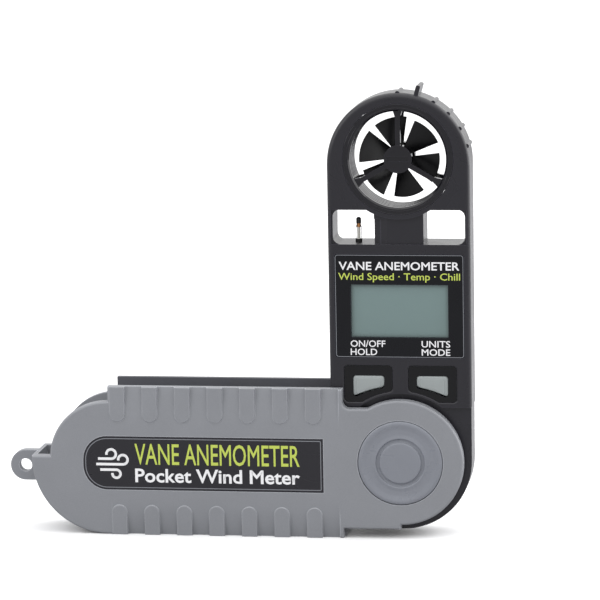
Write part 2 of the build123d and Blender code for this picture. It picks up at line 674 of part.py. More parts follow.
SURROUND_BACK = FACE - RECESS_DEPTH
with BuildPart() as front_case:
    case_half(1)
    fillet(face_rim(front_case.faces().sort_by(Axis.Y)[0]), CASE_ROUND)
    case_openings(1)
    slab(display_outline(PANE_GAP), BAY_FACE, FACE, mode=Mode.SUBTRACT)
    panel_seat = block(-PANEL_WIDTH / 2, PANEL_WIDTH / 2, PANEL_BOTTOM, PANEL_TOP, PANEL_ROUND)
    slab(panel_seat, FACE - PANEL_THICKNESS, FACE, mode=Mode.SUBTRACT)
    bevel_column()
    for hand in (-1, 1):
        slab(recess_outline(hand, 0), SURROUND_BACK, FACE, mode=Mode.SUBTRACT)
    fillet(recess_rims(front_case), RECESS_ROUND)
    for hand in (-1, 1):
        slab(button_outline(hand, SEAT_GAP), BAY_FACE, FACE, mode=Mode.SUBTRACT)
    slab(seal_outline.sketch, 0, 0.7, mode=Mode.SUBTRACT)
    for screw in SCREWS:
        slab(disc(SCREW_RADIUS, screw), 0, SCREW_REACH, mode=Mode.SUBTRACT)
save(front_case.part, "front_case")


def door_channel(low, high):
    """Channel in the rear case that a door lug turns in, with its entry open to the back."""
    outer = DOOR_RADIUS + DOOR_LUG + 0.2
    inner = DOOR_RADIUS - LUG_ROOT
    for start in (0, 180):
        opened = start - DOOR_TURN - LUG_PLAY
        track = sector(outer, inner, CELL, opened, start + LUG_SPREAD + LUG_PLAY)
        slab(track, low, high, mode=Mode.SUBTRACT)
        entry = sector(outer, inner, CELL, opened, opened + LUG_SPREAD + 2 * LUG_PLAY)
        slab(entry, low, -FACE, mode=Mode.SUBTRACT)


with BuildPart() as rear_case:
    case_half(-1)
    fillet(face_rim(rear_case.faces().sort_by(Axis.Y)[-1]), CASE_ROUND)
    case_openings(-1)
    slab(disc(DOOR_RADIUS + DOOR_LUG + 1.3, CELL), BOARD_BACK - 0.4, -BAY_FACE)
    slab(disc(CELL_RADIUS + 0.4, CELL), DOOR_SEAT + CELL_DEPTH + 0.1, -FACE, mode=Mode.SUBTRACT)
    slab(disc(DOOR_RADIUS + SEAT_GAP, CELL), DOOR_SEAT, -FACE, mode=Mode.SUBTRACT)
    contact_slot = block(CELL_RADIUS, CELL_RADIUS + 1.2, CELL_HEIGHT - 2.5, CELL_HEIGHT + 2.5)
    slab(contact_slot, BOARD_BACK - 0.4, DOOR_SEAT, mode=Mode.SUBTRACT)
    door_channel(-FACE + 1.15, -FACE + 0.35)
    for screw in SCREWS:
        slab(disc(SCREW_RADIUS + 0.3, screw), 0, -FACE, mode=Mode.SUBTRACT)
        slab(disc(SCREW_HEAD + SEAT_GAP, screw), HEAD_BACK + SCREW_HEAD_DEPTH, -FACE, mode=Mode.SUBTRACT)
save(rear_case.part, "rear_case")

with BuildPart() as case_seal:
    slab(seal_outline.sketch, 0, 0.7)
save(case_seal.part, "case_seal")

with BuildPart() as pivot_bush:
    slab(ring(BUSH_RADIUS, AXLE_RADIUS + RUNNING_GAP), -TONGUE_FACE, TONGUE_FACE)
save(pivot_bush.part, "pivot_bush")

with BuildPart() as case_screws:
    for screw in SCREWS:
        slab(disc(SCREW_RADIUS, screw), HEAD_BACK + SCREW_HEAD_DEPTH, SCREW_REACH - 0.4)
        slab(disc(SCREW_HEAD, screw), HEAD_BACK, HEAD_BACK + SCREW_HEAD_DEPTH)
        with BuildSketch() as cross:
            with Locations(screw):
                Rectangle(2.4, 0.5)
                Rectangle(0.5, 2.4)
        slab(cross.sketch, HEAD_BACK, HEAD_BACK + 0.7, mode=Mode.SUBTRACT)
save(case_screws.part, "case_screws")

# ---------------------------------------------------------------- display and its label

with BuildPart() as face_label:
    panel = block(
        -PANEL_WIDTH / 2 + PANE_GAP,
        PANEL_WIDTH / 2 - PANE_GAP,
        PANEL_BOTTOM + PANE_GAP,
        PANEL_TOP - PANE_GAP,
        PANEL_ROUND,
    )
    slab(panel, FACE - PANEL_THICKNESS, FACE - PANE_GAP)
    slab(display_outline(PANE_GAP), FACE - PANEL_THICKNESS, FACE, mode=Mode.SUBTRACT)
save(face_label.part, "face_label")

with BuildPart() as lcd_window:
    slab(display_outline(0), GLASS_FRONT, FACE - LCD_SINK)
    slab(display_outline(PANE_FLANGE), GLASS_FRONT, BAY_FACE)
save(lcd_window.part, "lcd_window")

with BuildPart() as lcd_module:
    slab(display_outline(GLASS_EDGE), GLASS_BACK, GLASS_FRONT)
save(lcd_module.part, "lcd_module")

with BuildPart() as lcd_contact_strips:
    for strip_z in (LCD_BOTTOM - GLASS_EDGE + 1.1, LCD_TOP + GLASS_EDGE - 1.1):
        slab(block(-LCD_WIDTH / 2, LCD_WIDTH / 2, strip_z - 0.9, strip_z + 0.9), BOARD_FRONT, GLASS_BACK)
save(lcd_contact_strips.part, "lcd_contact_strips")

with BuildPart() as display_holder:
    slab(display_outline(GLASS_EDGE + HOLDER_WALL), BOARD_FRONT, GLASS_FRONT)
    slab(display_outline(GLASS_EDGE), BOARD_FRONT, GLASS_FRONT, mode=Mode.SUBTRACT)
save(display_holder.part, "display_holder")

# ---------------------------------------------------------------- circuit board and battery

with BuildSketch() as board_outline:
    offset(bay_outline.sketch, amount=-0.5, kind=Kind.INTERSECTION)
    for screw in LOW_SCREWS:
        with Locations(screw):
            Circle(BOSS_RADIUS + 0.3, mode=Mode.SUBTRACT)
with BuildPart() as circuit_board:
    slab(board_outline.sketch, BOARD_BACK, BOARD_FRONT)
save(circuit_board.part, "circuit_board")

# Controller, crystal, driver and capacitors, clear of the battery well and the button domes.
with BuildPart() as board_components:
    slab(block(-3.5, 3.5, 29.4, 34.0), BOARD_FRONT, BOARD_FRONT + 1.1)
    slab(block(-17.6, -11.6, 57.8, 62.2), BOARD_BACK - 1.4, BOARD_BACK)
    slab(block(11.2, 17.8, 58.2, 61.0), BOARD_BACK - 2.2, BOARD_BACK)
    for part_z in (26.2, 28.4):
        slab(block(-1.0, 1.0, part_z - 0.6, part_z + 0.6), BOARD_FRONT, BOARD_FRONT + 0.6)
save(board_components.part, "board_components")

CELL_FRONT = DOOR_SEAT + CELL_DEPTH - 0.1
with BuildPart() as coin_cell:
    slab(disc(CELL_RADIUS, CELL), CELL_FRONT - CELL_DEPTH, CELL_FRONT)
    fillet(coin_cell.edges(), 0.3)
save(coin_cell.part, "coin_cell")

with BuildPart() as battery_contact_negative:
    slab(block(-3, 3, CELL_HEIGHT - 6, CELL_HEIGHT + 6), CELL_FRONT, CELL_FRONT + 0.2)
save(battery_contact_negative.part, "battery_contact_negative")

with BuildPart() as battery_contact_positive:
    leaf = block(CELL_RADIUS + 0.05, CELL_RADIUS + 0.35, CELL_HEIGHT - 2, CELL_HEIGHT + 2)
    slab(leaf, DOOR_SEAT + 0.2, BOARD_BACK)
save(battery_contact_positive.part, "battery_contact_positive")

with BuildPart() as battery_door:
    slab(disc(DOOR_RADIUS, CELL), -FACE + DOOR_THICKNESS, -FACE)
    for start in (0, 180):
        door_lug = sector(DOOR_RADIUS + DOOR_LUG, DOOR_RADIUS - LUG_ROOT, CELL, start, start + LUG_SPREAD)
        slab(door_lug, -FACE + 1.05, -FACE + 0.45)
    slab(block(-7, 7, CELL_HEIGHT - 1, CELL_HEIGHT + 1, 0.9), -FACE, -FACE + 0.6, mode=Mode.SUBTRACT)
save(battery_door.part, "battery_door")

with BuildPart() as battery_door_seal:
    slab(ring(DOOR_RADIUS - 0.2, CELL_RADIUS + 0.9, CELL), -FACE + DOOR_THICKNESS, DOOR_SEAT - 0.05)
save(battery_door_seal.part, "battery_door_seal")

# ---------------------------------------------------------------- buttons

BUTTON_FRONT = FACE - 0.1
FLANGE_FRONT = BAY_FACE - 0.1
FLANGE_BACK = FLANGE_FRONT - 0.7
PLUNGER_BACK = BOARD_FRONT + 0.9 + BUTTON_TRAVEL + 0.1
PLUNGERS = {}
for side, button_name, surround_name in (
    (-1, "power_button", "power_surround"),
    (1, "mode_button", "mode_surround"),
):
    with BuildPart() as button:
        slab(button_outline(side, 0), FLANGE_FRONT, BUTTON_FRONT)
        fillet(button.faces().sort_by(Axis.Y)[0].edges(), 0.35)
        slab(button_outline(side, 0.9), FLANGE_BACK, FLANGE_FRONT)
        slab(disc(SWEEP + CASE_WALL + 0.1), FLANGE_BACK, FLANGE_FRONT, mode=Mode.SUBTRACT)
        plunger = (side * (BUTTON_INNER + BUTTON_OUTER) / 2, BUTTON_TOP - PLUNGER_DROP)
        slab(disc(1.2, plunger), PLUNGER_BACK, FLANGE_BACK)
    save(button.part, button_name)
    PLUNGERS[side] = plunger
    with BuildPart() as surround:
        slab(recess_outline(side, PANE_GAP), SURROUND_BACK, SURROUND_BACK + SURROUND_THICKNESS)
        slab(button_outline(side, SEAT_GAP), SURROUND_BACK, FACE, mode=Mode.SUBTRACT)
    save(surround.part, surround_name)

# Silicone mat on the board; the buttons' plungers pass through it to the domes.
MAT_BACK = BOARD_FRONT + 1.6
MAT_FRONT = FLANGE_BACK - BUTTON_TRAVEL - 0.1
with BuildPart() as keypad_mat:
    with BuildSketch() as mat:
        add(block(-15.5, 15.5, BUTTON_TOP - MAT_DROP, RECESS_TOP - 0.6))
        Circle(SWEEP + CASE_WALL + 0.5, mode=Mode.SUBTRACT)
    slab(mat.sketch, MAT_BACK, MAT_FRONT)
    for foot_x in (-14.6, -3.6, 3.6, 14.6):
        slab(disc(0.8, (foot_x, RECESS_TOP - 1.8)), BOARD_FRONT, MAT_BACK)
    for side in (-1, 1):
        slab(disc(1.6, PLUNGERS[side]), MAT_BACK, MAT_FRONT, mode=Mode.SUBTRACT)
save(keypad_mat.part, "keypad_mat")

with BuildPart() as button_domes:
    for side in (-1, 1):
        slab(disc(2.5, PLUNGERS[side]), BOARD_FRONT, BOARD_FRONT + 0.3)
        slab(disc(1.6, PLUNGERS[side]), BOARD_FRONT + 0.3, BOARD_FRONT + 0.9)
save(button_domes.part, "button_domes")

# ---------------------------------------------------------------- temperature probe


def probe_level(height):
    """Level plane across the probe, at a height above the pivot."""
    return Plane(origin=(PIVOT_X + PROBE_OFFSET, 0, PIVOT_Z + height), z_dir=(0, 0, 1))


PROBE_PARTS = (
    ("thermistor_grommet", 1.0, BAY_TOP, WINDOW_BOTTOM + 0.8),
    ("thermistor_stem", PROBE_RADIUS, WINDOW_BOTTOM + 0.8, PROBE_TOP - 3.0),
    ("thermistor_ferrule", PROBE_RADIUS + 0.15, PROBE_TOP - 3.0, PROBE_TOP - 1.9),
)
for name, radius, low, high in PROBE_PARTS:
    with BuildPart() as probe_part:
        with BuildSketch(probe_level(low)):
            Circle(radius)
        extrude(amount=high - low)
    save(probe_part.part, name)

with BuildPart() as thermistor_bead:
    with BuildSketch(probe_level(PROBE_TOP - 1.9)):
        Circle(PROBE_RADIUS + 0.25)
    extrude(amount=1.9)
    fillet(thermistor_bead.edges().sort_by(Axis.Z)[-1], 0.6)
save(thermistor_bead.part, "thermistor_bead")

# ---------------------------------------------------------------- impeller cartridge


# Three spokes, each flared where it meets the duct ring.
with BuildSketch() as spoke:
    with BuildLine():
        Polyline(
            (GUARD_HUB - 0.5, -SPOKE_WIDTH / 2),
            (DUCT_RADIUS - 2, -SPOKE_WIDTH / 2),
            (DUCT_RADIUS + 0.4, -SPOKE_WIDTH),
            (DUCT_RADIUS + 0.4, SPOKE_WIDTH),
            (DUCT_RADIUS - 2, SPOKE_WIDTH / 2),
            (GUARD_HUB - 0.5, SPOKE_WIDTH / 2),
            close=True,
        )
    make_face()
with BuildSketch() as spoke_outline:
    with Locations(DUCT):
        with PolarLocations(0, SPOKE_COUNT, 90):
            add(spoke.sketch)


def guard(side):
    """Half of the impeller's cartridge: duct ring, three spokes and the hub that holds a jewel."""
    slab(ring(GUARD_RADIUS, DUCT_RADIUS, DUCT), 0, side * FACE)
    slab(spoke_outline.sketch, side * SPOKE_BACK, side * SPOKE_FRONT)
    slab(disc(GUARD_HUB, DUCT), side * HUB_FACE, side * HUB_FRONT)
    slab(disc(JEWEL_RADIUS, DUCT), side * HUB_FACE, side * (HUB_FACE + JEWEL_DEPTH), mode=Mode.SUBTRACT)
    hub_slot = block(-3.3, 3.3, DUCT_HEIGHT - 0.7, DUCT_HEIGHT + 0.7, 0.3)
    slab(hub_slot, side * (HUB_FRONT - 0.35), side * HUB_FRONT, mode=Mode.SUBTRACT)


def duct_lip(part, side):
    """Inner edge of the duct ring at the meter's face."""
    circles = part.edges().filter_by(GeomType.CIRCLE)
    return circles.filter_by(lambda e: abs(e.center().Y + side * FACE) < 0.01).sort_by(SortBy.RADIUS)[0]


with BuildPart() as front_guard:
    guard(1)
    chamfer(duct_lip(front_guard, 1), LIP_BEVEL)
save(front_guard.part, "front_guard")

with BuildPart() as rear_guard:
    guard(-1)
    chamfer(duct_lip(rear_guard, -1), LIP_BEVEL)
save(rear_guard.part, "rear_guard")

for side, name in ((1, "bearing_front"), (-1, "bearing_rear")):
    with BuildPart() as bearing:
        jewel = ring(JEWEL_RADIUS, SPINDLE_RADIUS + JEWEL_GAP, DUCT)
        slab(jewel, side * HUB_FACE, side * (HUB_FACE + JEWEL_DEPTH))
    save(bearing.part, name)


def blade_section(radius):
    """Cross-section of the upright blade at this distance from the spindle."""
    half_chord = radius * sin(radians(BLADE_HALF_ANGLE))
    slope = Vector(half_chord, IMPELLER_DEPTH / 2 - 0.3).normalized()
    rise = Vector(-slope.Y, slope.X) * (BLADE_THICKNESS / 2)
    tip = Vector(half_chord, IMPELLER_DEPTH / 2 - 0.3)
    origin = (PIVOT_X, 0, PIVOT_Z + DUCT_HEIGHT + radius)
    with BuildSketch(Plane(origin=origin, x_dir=(1, 0, 0), z_dir=(0, 0, 1))) as section:
        with BuildLine():
            Polyline(tip + rise, tip - rise, -tip - rise, -tip + rise, close=True)
        make_face()
    return section.sketch


with BuildPart() as blade:
    loft([blade_section(IMPELLER_HUB * 0.75), blade_section(BLADE_RADIUS + 1.5)])
    slab(disc(BLADE_RADIUS, DUCT), -FACE, FACE, mode=Mode.INTERSECT)

with BuildPart() as impeller:
    slab(disc(IMPELLER_HUB, DUCT), -IMPELLER_DEPTH / 2, IMPELLER_DEPTH / 2)
    for blade_index in range(BLADE_COUNT):
        add(blade.part.rotate(DUCT_AXIS, 90 - BLADE_PHASE + 360 / BLADE_COUNT * blade_index))
    slab(disc(SPINDLE_RADIUS, DUCT), -FACE, FACE, mode=Mode.SUBTRACT)
save(impeller.part, "impeller")

with BuildPart() as impeller_spindle:
    slab(disc(SPINDLE_RADIUS, DUCT), -HUB_FACE - 0.8, HUB_FACE + 0.8)
save(impeller_spindle.part, "impeller_spindle")

with BuildPart() as impeller_magnet:
    slab(ring(2.4, SPINDLE_RADIUS, DUCT), -HUB_FACE + 0.15, -IMPELLER_DEPTH / 2)
save(impeller_magnet.part, "impeller_magnet")

SENSOR_TOP = DUCT_HEIGHT - GUARD_RADIUS - 0.2
with BuildPart() as pickup_sensor:
    slab(
        block(-SENSOR_WIDTH / 2 + 0.1, SENSOR_WIDTH / 2 - 0.1, SENSOR_TOP - SENSOR_HEIGHT, SENSOR_TOP),
        -SENSOR_DEPTH / 2 + 0.1,
        SENSOR_DEPTH / 2 - 0.1,
    )
save(pickup_sensor.part, "pickup_sensor")

with BuildPart() as pickup_lead:
    slab(block(-1.5, 1.5, BAY_TOP - 0.5, SENSOR_TOP - SENSOR_HEIGHT), -0.3, -0.1)
save(pickup_lead.part, "pickup_lead")
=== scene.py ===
# %% [markdown]
# # A pocket vane anemometer, standing open
# The meter folds into its grey cover like the blade of a clasp knife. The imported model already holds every
# working part at its true size, so it is loaded first as a fixed frame. What follows gives it surfaces, and
# makes again the few pieces whose look depends on soft curves: the caps, the keys, the vane and the printing.

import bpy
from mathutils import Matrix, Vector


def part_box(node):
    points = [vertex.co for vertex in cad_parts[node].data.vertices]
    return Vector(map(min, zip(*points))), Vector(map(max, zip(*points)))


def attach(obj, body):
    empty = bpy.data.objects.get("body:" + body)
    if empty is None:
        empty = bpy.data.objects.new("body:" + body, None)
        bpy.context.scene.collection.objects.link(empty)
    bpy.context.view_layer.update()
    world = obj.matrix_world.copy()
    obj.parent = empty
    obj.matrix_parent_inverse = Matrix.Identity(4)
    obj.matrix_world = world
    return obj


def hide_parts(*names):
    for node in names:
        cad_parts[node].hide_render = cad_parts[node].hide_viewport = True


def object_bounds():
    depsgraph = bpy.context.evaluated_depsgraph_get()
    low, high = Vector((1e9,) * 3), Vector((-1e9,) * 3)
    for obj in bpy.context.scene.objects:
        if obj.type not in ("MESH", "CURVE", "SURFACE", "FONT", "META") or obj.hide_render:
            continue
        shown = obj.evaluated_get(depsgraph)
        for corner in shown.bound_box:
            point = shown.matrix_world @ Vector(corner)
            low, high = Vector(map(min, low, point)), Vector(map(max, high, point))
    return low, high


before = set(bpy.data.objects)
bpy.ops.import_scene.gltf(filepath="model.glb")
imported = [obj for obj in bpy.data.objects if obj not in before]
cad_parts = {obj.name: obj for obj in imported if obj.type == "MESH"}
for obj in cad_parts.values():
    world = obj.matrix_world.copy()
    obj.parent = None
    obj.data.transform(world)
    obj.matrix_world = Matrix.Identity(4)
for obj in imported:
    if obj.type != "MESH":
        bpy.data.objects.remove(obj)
cad_low, cad_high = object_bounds()
print("frame spans", [round(v, 4) for v in (*cad_low, *cad_high)])

# %% [markdown]
# ## Where things are
# Each place is read from the frame, so nothing is fitted by eye. Small pieces are drawn flat on the XY plane
# in millimetres, with +Z towards the viewer, and one matrix then stands the drawing on the front of the
# object.

# %% Places and the drawing board
import math

import bmesh
import bpy
from mathutils import Matrix, Vector

MM = 0.001
scene = bpy.context.scene


def middle(node):
    """Centre of a CAD node, in metres."""
    low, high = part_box(node)
    return (low + high) / 2


def facing_front(x, y, z):
    """Stands a drawing in millimetres on the XY plane up at a point, with its +Z towards the front."""
    return Matrix.Translation((x, y, z)) @ Matrix.Rotation(math.radians(90), 4, "X") @ Matrix.Scale(MM, 4)


def facing_back(x, y, z):
    """The same with the drawing's +Z towards the back."""
    turned = Matrix.Rotation(math.radians(180), 4, "Z") @ Matrix.Rotation(math.radians(90), 4, "X")
    return Matrix.Translation((x, y, z)) @ turned @ Matrix.Scale(MM, 4)


pivot = middle("pivot_axle")
duct = middle("impeller_spindle")
print("pivot at", pivot[:], "duct at", duct[:])

# %% [markdown]
# ## Camera
# A long lens a metre away keeps the sides nearly parallel, as in a catalogue view. The camera stands a little
# to the right and above, so that the top edge and the right flank of the meter just show.

# %% Camera
CAMERA_PLACE = (0.1722, -0.9818, 0.2404)
CAMERA_TURN, CAMERA_DIP, CAMERA_ROLL = 8.662, 9.664, -1.025
CAMERA_LENS = 200.3

camera = bpy.data.objects.new("camera", bpy.data.cameras.new("camera"))
scene.collection.objects.link(camera)
camera.data.lens = CAMERA_LENS
camera.data.sensor_width = 36
camera.data.clip_end = 20
look = (
    Matrix.Rotation(math.radians(CAMERA_TURN), 4, "Z")
    @ Matrix.Rotation(math.radians(90 - CAMERA_DIP), 4, "X")
    @ Matrix.Rotation(math.radians(CAMERA_ROLL), 4, "Z")
)
camera.matrix_world = Matrix.Translation(CAMERA_PLACE) @ look
scene.camera = camera
print("camera", [round(v, 3) for v in camera.location])

# %% [markdown]
# ## Floor and light
# The object stands on a white table in a light tent. A wide lamp overhead whitens the table and leaves only a
# faint shadow under the long edge. A broad lamp on the right lights the meter's flank, and a weaker one on
# the left opens the shadows. The tent itself is the world's colour, with a very soft sun for its roof. Real
# paper ends near the object, so it throws back less light than an endless white floor would. So the floor's
# colour is full white only where the camera sees it directly.

# %% Floor
FLOOR_HALF = 12.0
FLOOR_BOUNCED = (0.42, 0.42, 0.43, 1)
FLOOR_SEEN = (0.93, 0.93, 0.935, 1)

floor_mesh = bpy.data.meshes.new("floor")
floor_corners = [(x * FLOOR_HALF, y * FLOOR_HALF, 0) for x, y in ((-1, -1), (1, -1), (1, 1), (-1, 1))]
floor_mesh.from_pydata(floor_corners, [], [(0, 1, 2, 3)])
floor = bpy.data.objects.new("floor", floor_mesh)
scene.collection.objects.link(floor)
floor.location.z = cad_low.z
paper = bpy.data.materials.new("table_white")
paper.use_nodes = True
sheet = paper.node_tree.nodes["Principled BSDF"]
seen = paper.node_tree.nodes.new("ShaderNodeLightPath")
tone = paper.node_tree.nodes.new("ShaderNodeMix")
tone.data_type = "RGBA"
tone.inputs[6].default_value = FLOOR_BOUNCED
tone.inputs[7].default_value = FLOOR_SEEN
paper.node_tree.links.new(seen.outputs["Is Camera Ray"], tone.inputs[0])
paper.node_tree.links.new(tone.outputs[2], sheet.inputs["Base Color"])
sheet.inputs["Roughness"].default_value = 0.8
sheet.inputs["Specular IOR Level"].default_value = 0.1
floor.data.materials.append(paper)

# %% Lamps
LAMPS_AIM = (0.0, 0.0, 0.06)
ROOF_POWER = 1.25
ROOF_SPREAD = 100
ROOF_LEAN = (12, -6)
TENT_BRIGHTNESS = 0.85


def soft_lamp(name, place, width, height, power):
    """Rectangular lamp, its sides in metres and its power in watts, that points at the object."""
    lamp = bpy.data.lights.new(name, "AREA")
    lamp.shape = "RECTANGLE"
    lamp.size, lamp.size_y, lamp.energy = width, height, power
    obj = bpy.data.objects.new(name, lamp)
    scene.collection.objects.link(obj)
    obj.location = place
    obj.rotation_euler = (Vector(LAMPS_AIM) - Vector(place)).to_track_quat("-Z", "Y").to_euler()


soft_lamp("lamp_overhead", (0.0, -0.1, 1.5), 2.4, 2.4, 7.0)
soft_lamp("lamp_right", (0.8, 0.25, 0.35), 1.2, 1.2, 10.0)
soft_lamp("lamp_left", (-1.1, -0.6, 0.6), 0.8, 0.8, 3.5)
sky = bpy.data.lights.new("tent_roof", "SUN")
sky.energy = ROOF_POWER
sky.angle = math.radians(ROOF_SPREAD)
roof = bpy.data.objects.new("tent_roof", sky)
scene.collection.objects.link(roof)
roof.rotation_euler = (math.radians(ROOF_LEAN[0]), math.radians(ROOF_LEAN[1]), 0)
world = bpy.data.worlds.new("light_tent")
scene.world = world
world.use_nodes = True
world.node_tree.nodes["Background"].inputs["Color"].default_value = (1.0, 1.0, 1.0, 1)
world.node_tree.nodes["Background"].inputs["Strength"].default_value = TENT_BRIGHTNESS
scene.view_settings.view_transform = "Standard"

# %% [markdown]
# ## A short way to write nodes
# Shader trees and geometry trees are built with the same few helpers: one adds a node and feeds its sockets,
# one adds a step of arithmetic, one mixes two colours, and one starts a group with named sockets.

# %% Node helpers


def add(tree, kind, feeds=None, **settings):
    """Adds a node, sets its options, and feeds its sockets with values or with other nodes' outputs."""
    node = tree.nodes.new(kind)
    for option, value in settings.items():
        setattr(node, option, value)
    for socket, value in (feeds or {}).items():
        if isinstance(value, bpy.types.NodeSocket):
            tree.links.new(value, node.inputs[socket])
        else:
            node.inputs[socket].default_value = value
    return node


def calc(tree, operation, *values):
    """One step of arithmetic; gives its output."""
    return add(tree, "ShaderNodeMath", dict(enumerate(values)), operation=operation).outputs[0]


def blend_colour(tree, amount, under, over):
    """Colour that goes from under to over as amount goes from 0 to 1."""
    mix = add(tree, "ShaderNodeMix", {0: amount, 6: under, 7: over}, data_type="RGBA")
    return mix.outputs[2]


def new_group(name, kind, inputs, outputs):
    """Empty node group with named sockets; gives the tree and its input and output nodes."""
    tree = bpy.data.node_groups.new(name, kind)
    for label, socket, value in inputs:
        made = tree.interface.new_socket(label, in_out="INPUT", socket_type=socket)
        if value is not None:
            made.default_value = value
    for label, socket in outputs:
        tree.interface.new_socket(label, in_out="OUTPUT", socket_type=socket)
    return tree, tree.nodes.new("NodeGroupInput"), tree.nodes.new("NodeGroupOutput")


# %% [markdown]
# ## What moulded plastic shows
# A moulded case isn't one flat colour. The tool's spark-eroded surface prints a fine grain, the colour drifts
# a little where the melt cooled, edges are lightened by a painted highlight that also stands for handling wear,
# and dust settles on what faces up.
# Each effect is a small group that several finishes share, so that one change reaches all of them.

# %% Grain group
FLOAT = "NodeSocketFloat"
SHADER = "ShaderNodeTree"
grain_group, given, result = new_group(
    "moulded_grain",
    SHADER,
    [("Grain Scale", FLOAT, 4500.0), ("Drift Scale", FLOAT, 60.0)],
    [("Grain", FLOAT), ("Drift", FLOAT)],
)
where = add(grain_group, "ShaderNodeTexCoord").outputs["Object"]
for label, detail in (("Grain", 3.0), ("Drift", 4.0)):
    spacing = given.outputs[label + " Scale"]
    cloud = add(grain_group, "ShaderNodeTexNoise", {"Vector": where, "Scale": spacing, "Detail": detail})
    grain_group.links.new(cloud.outputs["Fac"], result.inputs[label])

# %% Edge group
# Painted highlight: this mask lightens the colour along rounded edges for the light they catch, and for
# handling wear.
edge_highlight_group, given, result = new_group(
    "edge_wear_and_highlight", SHADER, [("Width", FLOAT, 0.0003), ("Gain", FLOAT, 4.0)], [("Mask", FLOAT)]
)
rounded = add(edge_highlight_group, "ShaderNodeBevel", {"Radius": given.outputs["Width"]}, samples=6)
flat = add(edge_highlight_group, "ShaderNodeNewGeometry")
turn = add(
    edge_highlight_group,
    "ShaderNodeVectorMath",
    {0: rounded.outputs["Normal"], 1: flat.outputs["Normal"]},
    operation="DOT_PRODUCT",
)
bent = calc(edge_highlight_group, "SUBTRACT", 1.0, turn.outputs["Value"])
mask = add(
    edge_highlight_group, "ShaderNodeMath", {0: bent, 1: given.outputs["Gain"]}, operation="MULTIPLY", use_clamp=True
)
edge_highlight_group.links.new(mask.outputs[0], result.inputs["Mask"])

# %% Dust and handling groups
dust_group, given, result = new_group("settled_dust", SHADER, [("Scale", FLOAT, 900.0)], [("Mask", FLOAT)])
where = add(dust_group, "ShaderNodeTexCoord").outputs["Object"]
specks = add(
    dust_group, "ShaderNodeTexNoise", {"Vector": where, "Scale": given.outputs["Scale"], "Detail": 5.0}
)
facing = add(dust_group, "ShaderNodeNewGeometry").outputs["Normal"]
upward = add(dust_group, "ShaderNodeSeparateXYZ", {0: facing}).outputs["Z"]
level = add(dust_group, "ShaderNodeMapRange", {"Value": upward, "From Min": 0.5, "From Max": 1.0})
spots = add(
    dust_group, "ShaderNodeMapRange", {"Value": specks.outputs["Fac"], "From Min": 0.45, "From Max": 0.75}
)
settled = calc(dust_group, "MULTIPLY", level.outputs[0], spots.outputs[0])
dust_group.links.new(settled, result.inputs["Mask"])

smudge_group, given, result = new_group("finger_marks", SHADER, [("Scale", FLOAT, 90.0)], [("Mask", FLOAT)])
where = add(smudge_group, "ShaderNodeTexCoord").outputs["Object"]
smears = add(
    smudge_group,
    "ShaderNodeTexNoise",
    {"Vector": where, "Scale": given.outputs["Scale"], "Detail": 6.0, "Distortion": 1.5},
)
smeared = add(
    smudge_group, "ShaderNodeMapRange", {"Value": smears.outputs["Fac"], "From Min": 0.4, "From Max": 0.7}
)
smudge_group.links.new(smeared.outputs[0], result.inputs["Mask"])
print("groups", [g.name for g in bpy.data.node_groups])

# %% [markdown]
# ## Plastics
# Every plastic part shares one recipe with its own numbers: colour, gloss, grain, how much lighter its edges
# are, and how much dust it has caught. The black case is also polished: glaze gives it a thin skin with a low
# refractive index, which hardly shows from the front and shines at a slant. The shader itself stays in the
# material, and only masks come out of the groups, so that the finish can be baked for other programs.

# %% The plastic recipe


def paint(red, green, blue):
    """Colour as a paint chip gives it, from 0 to 255, as the linear value that a shader needs."""
    parts = [c / 255 for c in (red, green, blue)]
    return (*[p / 12.92 if p <= 0.04045 else ((p + 0.055) / 1.055) ** 2.4 for p in parts], 1.0)


def shade(colour, factor):
    """The same colour, lighter or darker."""
    return (*[min(1.0, c * factor) for c in colour[:3]], 1.0)


def use(tree, group, **values):
    """Places a shader group; its sockets are named with _ for a space."""
    node = add(tree, "ShaderNodeGroup", node_tree=group)
    for label, value in values.items():
        node.inputs[label.replace("_", " ")].default_value = value
    return node


GLAZE_IOR = 1.3
GRAIN_SHADES = ((0.88, 0.88, 0.88, 1), (1.12, 1.12, 1.12, 1))
DUST_COLOUR = paint(176, 172, 165)
DUST_ROUGHNESS = 0.3
TOUCH_POLISH = 0.12
BARE_ROUGHNESS = 0.04


